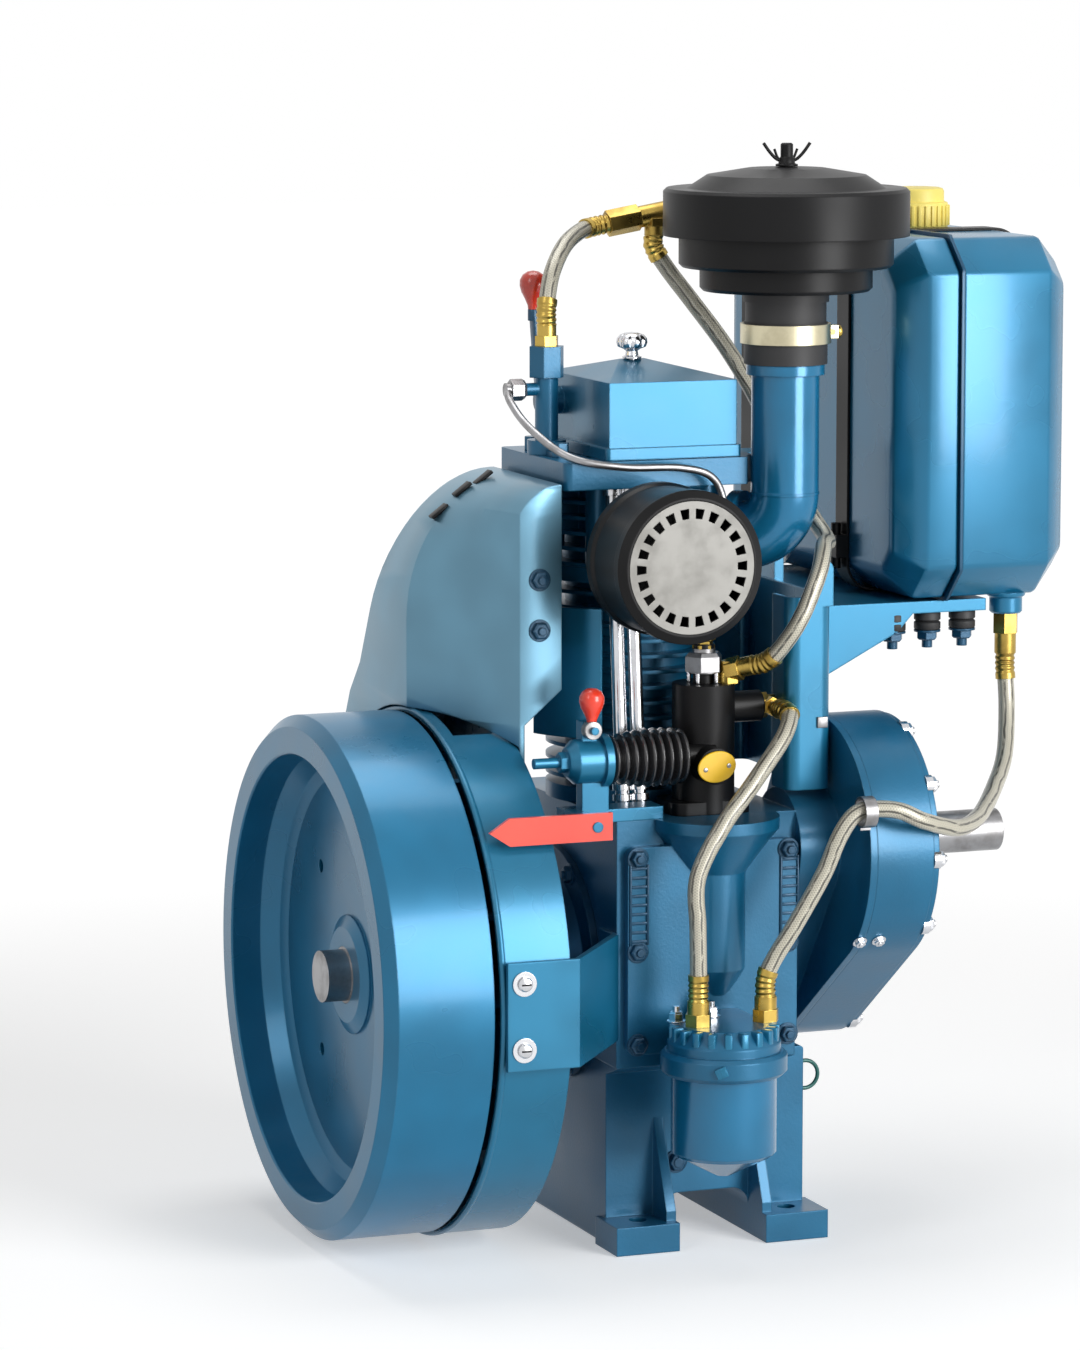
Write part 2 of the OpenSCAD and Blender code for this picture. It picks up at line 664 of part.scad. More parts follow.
module rocker_bracket() color([0.35, 0.37, 0.40]) {
    for (p = pedestal_x) box(p[0], p[1], rocker_y - rocker_hub_r / 2, rocker_y + rocker_hub_r / 2,
            head_deck_z + head_deck_t, rocker_z);
    translate([0, rocker_y, rocker_z]) rod_x(shaft_x0, shaft_x1, rocker_shaft_r);
    translate([ridge_x, lid_mid_y, 0])
        rod_z(head_deck_z + head_deck_t, lid_z2 + knob_z_gap + 4 * overrun, knob_hole_r - seat_gap);
}

// Push-rod tubes with a bead at each end
bead_r = 7.6;
bead_h = 5;

module pushrod_tube() difference() {
    union() {
        cylinder(h = tube_len - 2 * tube_trim, r = tube_r);
        for (z = [0, bead_h * 1.6, bead_h * 3.2, tube_len - 2 * tube_trim - bead_h])
            translate([0, 0, z]) cylinder(h = bead_h, r = bead_r);
    }
    translate([0, 0, -overrun]) cylinder(h = tube_len + 2 * overrun, r = tube_r - overrun);
}
tube_trim = 1.6;

module pushrod_tubes() color([0.55, 0.60, 0.63]) for (x = tappet_x) along_pushrod(x)
    translate([0, 0, (deck_z - cam_z) / cos(tube_tilt) + tube_trim]) pushrod_tube();

// Fan cowl: a ring with a back plate, open at the top into the duct
lip_r = 2.5;
window_edge = 12;
plate_hole_r = 34;

module fan_cowl() color([0.16, 0.42, 0.60]) difference() {
    translate([0, 0, crank_z]) union() {
        difference() {
            rod_x(cowl_x0, cowl_x1, cowl_r);
            rod_x(cowl_x0 - overrun, cowl_x1 - sheet_t, cowl_r - sheet_t);
        }
        translate([cowl_x0 + lip_r, 0, 0]) rotate([0, 90, 0]) rotate_extrude()
            translate([cowl_r - lip_r / 2, 0]) circle(lip_r);
    }
    translate([0, 0, crank_z]) rod_x(cowl_x1 - 2 * sheet_t, cowl_x1 + overrun, plate_hole_r);
    box(cowl_x0 + window_edge, cowl_x1 - window_edge, -duct_front + 2 * window_edge,
        duct_back - 2 * window_edge, crank_z + cowl_r / 2, crank_z + cowl_r + overrun);
}

// Duct that leads the fan's air from the top of the cowl to the cylinder
duct_front = 92;
duct_back = 168;
duct_left = -210;
duct_open_x = -118;
duct_foot_x = -148;
duct_edge_x = -152;
duct_z0 = 322;
duct_bend_z = 480;
duct_rise = 110;
duct_reach = 88;
duct_step_z = 408;
duct_slope_h = 26;
duct_taper_z = 383;
duct_back_share = 0.55;
duct_edge_share = 0.62;
duct_corner = 34;
duct_corner_share = 0.3;
duct_outer_z = concat([duct_z0, duct_taper_z, duct_step_z, duct_step_z + duct_slope_h],
    [for (a = [0 : 15 : 90]) duct_bend_z + duct_rise * sin(a)]);
duct_inner_z = concat([duct_z0 - overrun, duct_taper_z, duct_step_z, duct_step_z + duct_slope_h],
    [for (a = [0 : 13 : 65]) duct_bend_z + duct_rise * sin(a)]);

function duct_ring(z, t) =
    let (zz = z + t, s = min(1, max(0, (zz - duct_bend_z) / duct_rise)),
        xs = duct_open_x - duct_reach * sqrt(1 - s * s) + duct_left - duct_open_x + duct_reach,
        left = max(duct_left, min(xs, duct_open_x - sheet_t - overrun)) + t,
        right = duct_foot_x + (duct_open_x - duct_foot_x)
            * min(1, max(0, (zz - duct_step_z) / duct_slope_h)) - t,
        edge = max(duct_edge_x - t, right - (right - left) * duct_edge_share),
        back = duct_back - duct_back_share * max(0, zz - duct_taper_z) - t, front = -duct_front + t,
        corner = min(duct_corner, (right - left) / 3))
    [[left, t, z], [edge, front, z], [right, front, z], [right, back, z],
        [left + corner, back, z], [left + corner * duct_corner_share,
            back - corner * duct_corner_share, z], [left, back - corner, z]];
duct_sides = 7;

module duct_body(levels, t) polyhedron([for (z = levels) each duct_ring(z, t)],
    ring_faces(len(levels), duct_sides));

module cowl_duct() color([0.45, 0.58, 0.66]) difference() {
    duct_body(duct_outer_z, 0);
    duct_body(duct_inner_z, sheet_t);
    translate([0, 0, crank_z]) rod_x(duct_left - overrun, cowl_x1 + seat_gap, cowl_r + seat_gap + lip_r / 2);
    box(duct_open_x - duct_slope_h, duct_open_x + overrun, -duct_front + 2 * sheet_t,
        duct_back / 3, duct_step_z + 2 * duct_slope_h, duct_bend_z + duct_rise * 0.9);
}

// Sheet baffles at both sides of the cylinder
baffle_r = 97;
baffle_from = 198;
baffle_to = 235;
baffle_z0 = 392;
baffle_z1 = 492;
column_x0 = 55;
column_x1 = 92;
column_y0 = -125;
column_y1 = 40;
column_z0 = 351;
column_z1 = 500;
column_round = 10;
column_return = 32;
tongue_x = 84;
tongue_r = 8;
tongue_z = 520;

module air_baffles() color([0.10, 0.34, 0.50]) {
    translate([cyl_x, 0, baffle_z0]) rotate([0, 0, baffle_from])
        rotate_extrude(angle = baffle_to - baffle_from)
            translate([baffle_r - sheet_t, 0]) square([sheet_t, baffle_z1 - baffle_z0]);
    difference() {
        translate([0, 0, column_z0]) linear_extrude(column_z1 - column_z0)
            round_rect(column_x0, column_x1, column_y0, column_y1, column_round);
        translate([0, 0, column_z0 - overrun]) linear_extrude(column_z1 - column_z0 + 2 * overrun)
            round_rect(column_x0 + sheet_t, column_x1 - sheet_t, column_y0 + sheet_t,
                column_y1 - sheet_t, column_round - sheet_t);
        box(column_x0 - overrun, column_x0 + column_round, column_y0 + column_return,
            column_y1 - column_round, column_z0 - overrun, column_z1 + overrun);
    }
    pushed_y(column_y0, column_y0 + sheet_t) {
        translate([tongue_x - tongue_r, column_z1 - tongue_r])
            square([2 * tongue_r, tongue_z - column_z1 + tongue_r]);
        translate([tongue_x, tongue_z]) circle(tongue_r);
    }
    // Foot of the column on the deck
    box(column_x0, case_right, column_y1 - column_round - column_return, column_y1 - column_round,
        deck_z, deck_z + sheet_t);
    box(column_x0, column_x0 + sheet_t, column_y1 - column_round - column_return,
        column_y1 - column_round, deck_z, column_z0 + column_round);
    box(column_x0, column_x0 + column_round, column_y1 - column_round - sheet_t, column_y1 - column_round / 2,
        column_z0, column_z0 + column_round);
}

// Plate between the crankcase and the fan cowl
stay_z0 = 168;
stay_z1 = 250;
stay_t = 4;
stay_y = -cowl_r - lip_r / 2 - seat_gap;
stay_tab = 26;

module cowl_bracket() color([0.30, 0.55, 0.68]) translate([0, 0, stay_z0])
    linear_extrude(stay_z1 - stay_z0) polygon([
        [cowl_x0 + sheet_t, stay_y], [cowl_x0 + sheet_t, stay_y - stay_t],
        [cowl_x1 + stay_t, stay_y - stay_t], [case_left, -chest_y - stay_t],
        [case_left, -chest_y + stay_tab], [case_left - stay_t, -chest_y + stay_tab],
        [case_left - stay_t, -chest_y], [cowl_x1 + stay_t / 2, stay_y]]);

// Nuts and screws of the door, timing case, cowl, bearing housing and duct
screw_r = 5;
screw_h = 4;
door_nut_places = [[door_x0 + door_lip / 2, door_z1 - door_lip / 2],
    [door_x0 + door_lip / 2, (door_z0 + door_z1) / 2], [door_x0 + door_lip / 2, door_z0 + door_lip / 2],
    [door_x1 - door_lip / 2, door_z1 - door_lip / 2], [door_x1 - door_lip / 2, (door_z0 + door_z1) / 2],
    [door_x1 - door_lip / 2, door_z0 + door_lip / 2]];
housing_bolts = 6;
drain_r = 9;

module case_fasteners() color([0.70, 0.72, 0.74]) {
    for (p = door_nut_places) translate([p[0], -chest_y - door_t, p[1]]) rotate([90, 0, 0])
        hex_nut(screw_r + overrun, screw_h);
    for (z = [stay_z0 + door_lip, stay_z1 - door_lip])
        translate([cowl_x0 + door_lip, stay_y - stay_t, z]) rotate([90, 0, 0]) {
            cylinder(h = sheet_t, r = screw_r + overrun);
            hex_nut(screw_r, screw_h + overrun);
        }
    for (i = [0 : housing_bolts - 1]) translate([case_left - flange_t, 0, crank_z])
        rotate([360 / housing_bolts * i + 180 / housing_bolts, 0, 0])
            translate([0, 0, housing_flange_r - screw_r - overrun / 2]) rotate([0, -90, 0])
                hex_nut(screw_r, screw_h);
    for (z = [duct_bend_z, duct_bend_z + duct_rise * 0.35]) translate([duct_edge_x + door_lip, -duct_front, z])
        rotate([90, 0, 0]) hex_nut(screw_r, screw_h);
    translate([cyl_x, -case_half_y, drain_z]) rotate([90, 0, 0]) hex_nut(drain_r, screw_h + screw_r);
}

// Inlet pipe, bent towards the head
pipe_wall = 4;
collar_z = 668;
collar_h = 8;
inlet_flange_r = 34;

module pipe_ring() difference() {
    circle(inlet_r);
    circle(inlet_r - pipe_wall);
}

module inlet_elbow() color([0.06, 0.35, 0.62]) {
    translate([air_x, -air_y, 0]) difference() {
        union() {
            rod_z(inlet_z + inlet_bend, inlet_top, inlet_r);
            rod_z(collar_z, collar_z + collar_h, inlet_r + pipe_wall);
        }
        rod_z(inlet_z + inlet_bend - overrun, inlet_top + overrun, inlet_r - pipe_wall);
    }
    // Bead where the bend begins
    translate([air_x, -air_y, 0]) difference() {
        rod_z(inlet_z + inlet_bend - overrun, inlet_z + inlet_bend + overrun, inlet_r + overrun / 2);
        rod_z(inlet_z, inlet_top, inlet_r - pipe_wall - overrun / 2);
    }
    translate([air_x + inlet_bend * cos(inlet_dir), -air_y + inlet_bend * sin(inlet_dir), inlet_z + inlet_bend])
        rotate([0, 0, inlet_dir + 180]) rotate([-90, 0, 0]) rotate_extrude(angle = 90)
            translate([inlet_bend, 0]) pipe_ring();
    translate([inlet_port_x, inlet_port_y, inlet_z]) rotate([0, 0, inlet_dir]) difference() {
        rod_x(0, inlet_flange_t, inlet_flange_r);
        rod_x(-overrun, inlet_flange_t + overrun, inlet_r - pipe_wall - overrun / 2);
    }
}

// Rubber sleeve between the pipe and the air cleaner, with its clamp
sleeve_r = 32;
sleeve_z0 = collar_z + collar_h + seat_gap;
sleeve_z1 = bowl_z - seat_gap;
clamp_z0 = 692;
clamp_h = 15;
clamp_t = 2.5;

module neck_hose() color([0.05, 0.05, 0.06]) translate([air_x, -air_y, 0]) rotate_extrude()
    polygon([[inlet_r + seat_gap, sleeve_z0], [sleeve_r, sleeve_z0], [sleeve_r, clamp_z0 + clamp_h + overrun],
        [sleeve_r - overrun, clamp_z0 + clamp_h + overrun], [sleeve_r - overrun, sleeve_z1 - sleeve_r / 4],
        [sleeve_r + overrun, sleeve_z1 - sleeve_r / 4], [sleeve_r + overrun, sleeve_z1],
        [inlet_r + seat_gap, sleeve_z1]]);

module hose_clamp() color([0.80, 0.72, 0.52]) translate([air_x, -air_y, clamp_z0]) {
    difference() {
        cylinder(h = clamp_h, r = sleeve_r + clamp_t + seat_gap);
        translate([0, 0, -overrun]) cylinder(h = clamp_h + 2 * overrun, r = sleeve_r + seat_gap);
    }
    translate([sleeve_r + clamp_t, 0, clamp_h / 2])
        box(-overrun, 3 * clamp_t, -clamp_h / 3, clamp_h / 3, -clamp_h / 3, clamp_h / 3);
}

// Air cleaner: stepped bowl, cover ring with dome, stud
step_r = 66;
step_z = 750;
bowl_r = 82;
cover_z0 = 774;
cover_z1 = 810;
dome_r = 76;
dome_z = 826;
skin = 2.5;
bowl_neck = 16;
stud_top_z = 839;
air_stud_r = 4;

module air_cleaner_bowl() color([0.05, 0.05, 0.06]) translate([air_x, -air_y, 0]) rotate_extrude()
    polygon([[inlet_r - pipe_wall, bowl_z - bowl_neck], [inlet_r, bowl_z - bowl_neck],
        [inlet_r, bowl_z], [step_r - skin, bowl_z], [step_r, bowl_z + skin], [step_r, step_z],
        [bowl_r - skin, step_z], [bowl_r, step_z + skin], [bowl_r, cover_z0 + skin],
        [bowl_r - skin, cover_z0 + skin], [bowl_r - skin, step_z + skin],
        [step_r - skin, step_z + skin], [step_r - skin, bowl_z + skin],
        [inlet_r, bowl_z + skin], [inlet_r, cover_z0 - bowl_neck],
        [inlet_r - pipe_wall, cover_z0 - bowl_neck]]);

module air_cleaner_cover() color([0.06, 0.06, 0.07]) translate([air_x, -air_y, 0]) {
    rotate_extrude() polygon([[ring_r, cover_z0], [ring_r, cover_z1 - skin], [ring_r - skin, cover_z1],
        [dome_r, cover_z1], [dome_r * 0.8, cover_z1 + (dome_z - cover_z1) * 0.62],
        [dome_r * 0.4, dome_z - overrun], [0, dome_z], [0, dome_z - skin], [dome_r * 0.4, dome_z - skin - overrun],
        [dome_r * 0.8 - skin, cover_z1 + (dome_z - cover_z1) * 0.62 - skin],
        [dome_r - skin, cover_z1 - skin], [ring_r - skin, cover_z1 - skin], [ring_r - skin, cover_z0 + skin * 2],
        [bowl_r + seat_gap + skin, cover_z0 + skin * 2], [bowl_r + seat_gap, cover_z0]]);
    rod_z(cover_z0 - bowl_neck + seat_gap, stud_top_z, air_stud_r);
}

// Silencer: drum with rolled rims, pierced face and a short flanged pipe
sil_wall = 2.5;
sil_rim = 2;
sil_rim_w = 8;
sil_face_r = 50;
sil_face_t = 3;
sil_hole_r = 40.5;
sil_hole_h = 7.5;
sil_hole_w = 7.2;
sil_hole_share = 0.72;
sil_flange_t = 8;

module silencer_body() color([0.05, 0.05, 0.06]) {
    translate([sil_x, 0, sil_z]) difference() {
        turned_front() polygon([[0, sil_y1], [sil_r - sil_rim_w, sil_y1], [sil_r, sil_y1 + sil_rim_w / 2],
            [sil_r + sil_rim, sil_y1 + sil_rim_w], [sil_r + sil_rim, sil_y1 + 2 * sil_rim_w],
            [sil_r, sil_y1 + 2.5 * sil_rim_w], [sil_r, sil_y0 - 2 * sil_rim_w],
            [sil_r + sil_rim, sil_y0 - 1.5 * sil_rim_w], [sil_r + sil_rim, sil_y0 - sil_rim_w / 2],
            [sil_face_r + sil_rim, sil_y0], [0, sil_y0]]);
        turned_front() polygon([[0, sil_y1 + sil_wall], [sil_face_r + sil_wall, sil_y1 + sil_wall],
            [sil_face_r + sil_wall, sil_y0 - sil_face_t - sil_rim],
            [sil_face_r + seat_gap, sil_y0 - sil_face_t - sil_rim], [sil_face_r + seat_gap, sil_y0 + overrun],
            [0, sil_y0 + overrun]]);
        translate([exhaust_x - sil_x, 0, 0]) rod_y(-sil_y1 - 2 * sil_wall, -sil_y1 + overrun, port_r);
    }
    translate([exhaust_x, 0, sil_z]) difference() {
        union() {
            rod_y(-sil_y1 - sil_wall / 2, -exhaust_face_y - seat_gap, port_r + pipe_wall);
            rod_y(-exhaust_face_y - seat_gap - sil_flange_t, -exhaust_face_y - seat_gap, port_boss_r + sil_rim);
        }
        rod_y(-sil_y1 - 2 * sil_wall, -exhaust_face_y, port_r);
    }
}

module silencer_face() color([0.78, 0.78, 0.76]) translate([sil_x, -sil_y0 + sil_face_t, sil_z])
    rotate([90, 0, 0]) linear_extrude(sil_face_t) difference() {
        circle(sil_face_r);
        for (i = [0 : sil_holes - 1]) rotate(360 / sil_holes * i) translate([sil_hole_r, 0])
            polygon([[-sil_hole_h / 2, -sil_hole_w * sil_hole_share / 2], [sil_hole_h / 2, -sil_hole_w / 2],
                [sil_hole_h / 2, sil_hole_w / 2], [-sil_hole_h / 2, sil_hole_w * sil_hole_share / 2]]);
    }

// Injector on the head's deck, and the pipe from the pump
inj_nut_z0 = 664;
inj_top = 688;
union_z = 655;
clamp_bar_t = 11;
clamp_reach = 29;

module injector() color([0.13, 0.36, 0.50]) translate([inj_x, inj_y, 0]) {
    rod_z(head_deck_z - fin_pitch, inj_nut_z0, inj_r - 2 * overrun - run_clear);
    rod_z(head_deck_z + head_deck_t, head_deck_z + head_deck_t + clamp_bar_t, inj_r + pipe_wall);
    translate([0, 0, inj_nut_z0]) hex_nut(inj_r + sheet_t, inj_top - inj_nut_z0);
    translate([0, 0, union_z]) rod_x(-2 * inj_r, 0, screw_r);
    for (s = [-1, 1]) translate([0, s * clamp_reach, head_deck_z + head_deck_t]) hex_nut(stud_r + overrun, clamp_bar_t);
    box(-stud_r, stud_r, -clamp_reach, clamp_reach, head_deck_z + head_deck_t, head_deck_z + head_deck_t + screw_h);
}

steel_pipe_r = 3;
steel_pipe_sides = 8;
pump_union_z = 470;
pipe_route = [[-5, -100, 470], [-4, -100, 482], [8, -101, 496], [14, -100, 530], [12, -99, 570],
    [2, -98, 592], [-24, -97, 600], [-70, -97, 602], [-110, -88, 610], [-130, -56, 630],
    [-134, -24, 648], [-128, -8, 655], [-120, -8, 655]];

module injector_pipe() color([0.62, 0.64, 0.66])
    swept_tube(pipe_route, steel_pipe_r, steel_pipe_sides, [1, 1, -0.6]);

// Fuel pump with its flange, delivery valve and side bosses
pump_flange_x = 32;
pump_flange_y = 23;
pump_flange_h = 10;
delivery_r = 8;
delivery_nut_r = 12;
delivery_nut_z0 = 442;
delivery_nut_z1 = 456;
plunger_r = 12;
inlet_boss_x = 41;
inlet_boss_r = 12;
inlet_boss_z = 415;
rack_cap_r = 14;
rack_cap_x = -11;
rack_cap_z = 376;
rack_cap_y = 140;
lobe_r = 13;
lobe_nose = 19;
fold_x1 = -30;

module pump_body() color([0.06, 0.06, 0.07]) {
    translate([pump_x, -pump_y, 0]) {
        rod_z(deck_z, pump_top, pump_r);
        translate([0, 0, deck_z]) linear_extrude(pump_flange_h)
            round_rect(-pump_flange_x, pump_flange_x, -pump_flange_y, pump_flange_y, pump_flange_h);
        rod_z(pump_top - overrun, pump_union_z - screw_r, delivery_r);
        translate([0, 0, delivery_nut_z0]) hex_nut(delivery_nut_r, delivery_nut_z1 - delivery_nut_z0);
    }
    translate([pump_x, cam_y, 0]) rod_z(cam_z + lobe_nose + seat_gap, deck_z, plunger_r);
    translate([0, -pump_y, inlet_boss_z]) rod_x(pump_x, inlet_boss_x, inlet_boss_r);
    translate([rack_cap_x, 0, rack_cap_z]) rod_y(-rack_cap_y, -pump_y, rack_cap_r);
    translate([0, -gov_y, gov_z]) rod_x(fold_x1 + seat_gap, pump_x, delivery_r);
}

// Governor: ribbed bellows and the housing with the speed spring
fold_x0 = -93;
fold_r0 = 15;
fold_r1 = 23;
gov_cap_x0 = -126;
gov_r = 17;
gov_base_z1 = 346;
gov_screw_x0 = -152;
speed_x = -109;
speed_z = 408;
speed_pin_r = 3;
speed_lug = 6;
stop_x = -120;
stop_z = 341;
stop_y0 = -172;
stop_t = 4;
stop_pin_r = 4;
stop_arm_y = stop_y0 + stop_t + seat_gap;

module governor_bellows() color([0.10, 0.10, 0.11]) translate([0, -gov_y, gov_z]) {
    pitch = (fold_x1 - fold_x0) / fold_n;
    difference() {
        translate([fold_x0, 0, 0]) turned_x() polygon([[0, 0], [fold_r0, 0],
            for (i = [0 : fold_n - 1]) each [[fold_r1, (i + 0.35) * pitch], [fold_r1, (i + 0.65) * pitch],
                [fold_r0, (i + 1) * pitch]], [0, fold_n * pitch]]);
        rod_x(fold_x0 - overrun, fold_x1 + overrun, fold_r0 - 2 * overrun);
    }
}

module governor_housing() color([0.20, 0.45, 0.60]) {
    translate([0, -gov_y, gov_z]) {
        turned_x() polygon([[0, gov_cap_x0], [gov_r - 2 * sheet_t, gov_cap_x0],
            [gov_r, gov_cap_x0 + 2 * sheet_t], [gov_r, fold_x0 - seat_gap - 2 * sheet_t],
            [gov_r + sheet_t, fold_x0 - seat_gap - 2 * sheet_t], [gov_r + sheet_t, fold_x0 - seat_gap],
            [0, fold_x0 - seat_gap]]);
        rod_x(gov_screw_x0, gov_cap_x0, stop_pin_r);
        translate([gov_cap_x0 - 2 * sheet_t, 0, 0]) rotate([0, 90, 0]) hex_nut(delivery_r, 2 * sheet_t);
    }
    // Base on the deck and post
    box(stop_x - speed_lug, -pump_flange_x + pump_x - 4 * sheet_t, -gov_y - speed_lug, -gov_y + gov_r + sheet_t,
        deck_z, gov_base_z1);
    box(speed_x - speed_lug, fold_x0 - seat_gap, -gov_y - speed_lug, -gov_y + speed_lug, gov_base_z1 - overrun,
        gov_z - gov_r + overrun);
    // Lug and pin of the speed lever
    box(speed_x - speed_lug, speed_x + speed_lug, -gov_y - speed_lug, -gov_y + speed_lug,
        gov_z + gov_r - 2 * overrun, speed_z + speed_lug);
    translate([speed_x, 0, speed_z]) rod_y(-gov_y - 3 * speed_lug, -gov_y, speed_pin_r);
    // Arm and pin of the stop lever
    box(stop_x - speed_lug, stop_x + speed_lug, stop_arm_y, -gov_y - speed_lug + overrun,
        stop_z - speed_lug + overrun, stop_z + speed_lug - overrun);
    translate([stop_x, 0, stop_z]) rod_y(stop_y0 - overrun, stop_arm_y, stop_pin_r);
}

// Levers with round knobs
knob_r = 9;
ferrule_r = 5;
ferrule_h = 12;
speed_knob_z = 427;
lever_y = 26;
lever_z = 643;
lever_boss = 12;
lever_boss_r = 11;
lever_pin_r = 4;
lever_t = 4;
lever_half_w = 6;
lever_knob_z = 729;
lever_x1 = lid_x0 - lever_boss - seat_gap;
lever_hub_r = 9;
lever_hub_w = 7;

module speed_lever() color([0.85, 0.20, 0.14]) {
    y0 = -gov_y - speed_lug - seat_gap - 2 * lever_t;
    difference() {
        translate([speed_x, 0, speed_z]) rod_y(y0, y0 + 2 * lever_t, speed_lug + overrun);
        translate([speed_x, 0, speed_z]) rod_y(y0 - overrun, y0 + 2 * lever_t + overrun, speed_pin_r + run_clear);
    }
    translate([speed_x, y0 + lever_t, 0])
        rod_z(speed_z + speed_lug, speed_knob_z - knob_r / 2, ferrule_r - overrun);
    translate([speed_x, y0 + lever_t, speed_knob_z]) sphere(knob_r);
}

module decompression_lever() color([0.85, 0.20, 0.14]) {
    translate([0, lever_y, lever_z]) {
        rod_x(lever_x1 - lever_hub_w, lever_x1, lever_hub_r);
        rod_x(lever_x1 - overrun, lid_x0 + lid_wall, lever_pin_r);
    }
    box(lever_x1 - lever_hub_w, lever_x1 - lever_hub_w + lever_t, lever_y - lever_half_w, lever_y + lever_half_w,
        lever_z, lever_knob_z - knob_r - ferrule_h / 2);
    translate([lever_x1 - lever_hub_w + lever_t / 2, lever_y, 0])
        rod_z(lever_knob_z - knob_r - ferrule_h, lever_knob_z, ferrule_r);
    translate([lever_x1 - lever_hub_w + lever_t / 2, lever_y, lever_knob_z]) sphere(knob_r);
}

stop_tip_x = -206;
stop_half_h = 10.5;
stop_point = 16;
stop_tail = 12;

module stop_lever() color([0.90, 0.24, 0.16]) difference() {
    pushed_y(stop_y0, stop_y0 + stop_t) polygon([[stop_tip_x, stop_z], [stop_tip_x + stop_point, stop_z - stop_half_h],
        [stop_x + stop_tail, stop_z - stop_half_h], [stop_x + stop_tail, stop_z + stop_half_h],
        [stop_tip_x + stop_point, stop_z + stop_half_h]]);
    translate([stop_x, 0, stop_z]) rod_y(stop_y0 - overrun, stop_y0 + stop_t + overrun, stop_pin_r + run_clear);
}

// Fuel filter: head with its arm, and bowl
filter_head_r = 43;
filter_head_h = 19;
filter_flange_r = 48;
filter_flange_h = 18;
filter_out_x = -44;
filter_in_x = 11;
filter_arm_x0 = -14;
filter_arm_x1 = 10;
filter_arm_t = 10;
filter_shoulder_z = 90;
filter_tip_z = 71;
filter_cup = 3;

module filter_head() color([0.14, 0.44, 0.60]) {
    translate([filter_x, -filter_y, 0]) difference() {
        rotate_extrude() polygon([[0, filter_z - filter_flange_h + filter_cup],
            [filter_r, filter_z - filter_flange_h + filter_cup], [filter_r, filter_z - filter_flange_h],
            [filter_flange_r - filter_cup, filter_z - filter_flange_h],
            [filter_flange_r, filter_z - filter_flange_h + filter_cup], [filter_flange_r, filter_z - filter_cup],
            [filter_flange_r - filter_cup, filter_z], [filter_head_r, filter_z],
            [filter_head_r, filter_z + filter_head_h / 3], [filter_head_r - filter_head_h / 2,
                filter_z + filter_head_h], [0, filter_z + filter_head_h]]);
        for (x = [filter_out_x - filter_x, filter_in_x - filter_x]) translate([x, 0, 0])
            rod_z(filter_z, filter_z + filter_head_h + overrun, hose_r + overrun);
    }
    box(filter_arm_x0, filter_arm_x1, -filter_y, -chest_y - door_t - seat_gap, filter_z + filter_head_h / 3,
        filter_z + filter_head_h);
}

module filter_bowl() color([0.05, 0.34, 0.52]) translate([filter_x, -filter_y, 0]) difference() {
    rotate_extrude() polygon([[0, filter_tip_z], [filter_cup * 2, filter_tip_z],
        [filter_r - filter_cup, filter_shoulder_z - filter_cup], [filter_r, filter_shoulder_z],
        [filter_r, filter_z - filter_flange_h - seat_gap], [0, filter_z - filter_flange_h - seat_gap]]);
    rotate_extrude() polygon([[0, filter_tip_z + 2 * filter_cup], [filter_cup, filter_tip_z + 2 * filter_cup],
        [filter_r - 2 * filter_cup, filter_shoulder_z + filter_cup],
        [filter_r - filter_cup, filter_z], [0, filter_z]]);
}

// Routes of the fuel hoses and their brass ends
hose_sides = 8;
fitting_r = 8.5;
filter_hose_z = 206;
pump_route = [[-44, -186, 206], [-44, -186, 226], [-45, -187, 262], [-45, -186, 300], [-24, -182, 336],
    [4, -174, 366], [34, -160, 396], [47, -146, 411], [48, -134, 415], [48, -124, 415]];
supply_route = [[274, -50, 438], [274, -50, 426], [273, -56, 396], [260, -80, 362], [236, -112, 342],
    [202, -156, 328], [168, -190, 326], [132, -208, 336], [112, -208, 345], [94, -203, 347], [78, -201, 344],
    [66, -199, 328], [54, -195, 298], [34, -191, 262], [16, -187, 232], [11, -186, 218], [11, -186, 206]];
overflow_route = [[-98, -8, 704], [-98, -8, 718], [-90, 2, 742], [-72, 22, 762], [-52, 40, 772],
    [-38, 48, 774.9], [-26, 48, 777]];
tank_route = [[26, 48, 786], [38, 48, 788.1], [58, 52, 789], [86, 64, 780], [114, 80, 762], [138, 92, 740],
    [152, 92, 740]];
return_route = [[13, 47, 768], [13, 47, 758], [24, 44, 740], [40, 34, 716], [62, 16, 680], [80, -4, 640],
    [91, -30, 596], [95, -66, 562], [96, -102, 541], [84, -124, 539], [72, -142, 520], [54, -148, 486],
    [40, -140, 462], [32.4, -131.2, 452.6], [26, -124, 450]];

module hose(route, across) swept_tube(route, hose_r, hose_sides, across);

module pump_hose() color([0.80, 0.79, 0.74]) hose(pump_route, [1, 1, -1]);
module supply_hose() color([0.80, 0.79, 0.74]) hose(supply_route, [1, 1, -1]);
module overflow_hose() color([0.80, 0.79, 0.74]) {
    hose(overflow_route, [1, -1, 0]);
    hose(tank_route, [0, 1, 1]);
}
module return_hose() color([0.80, 0.79, 0.74]) hose(return_route, [1, 1, 0]);

// A fitting from one point to another, with a nut at its start
module fitting(from, to, r) {
    d = to - from;
    translate(from) rotate([0, acos(d[2] / norm(d)), atan2(d[1], d[0])]) {
        cylinder(h = norm(d), r = r);
        hex_nut(r + 2 * overrun, norm(d) / 2);
    }
}

tank_tap_z = 470;
tank_tap_y = 92;
leak_off = 17.4;
tee_drop = [13, 47, 781];

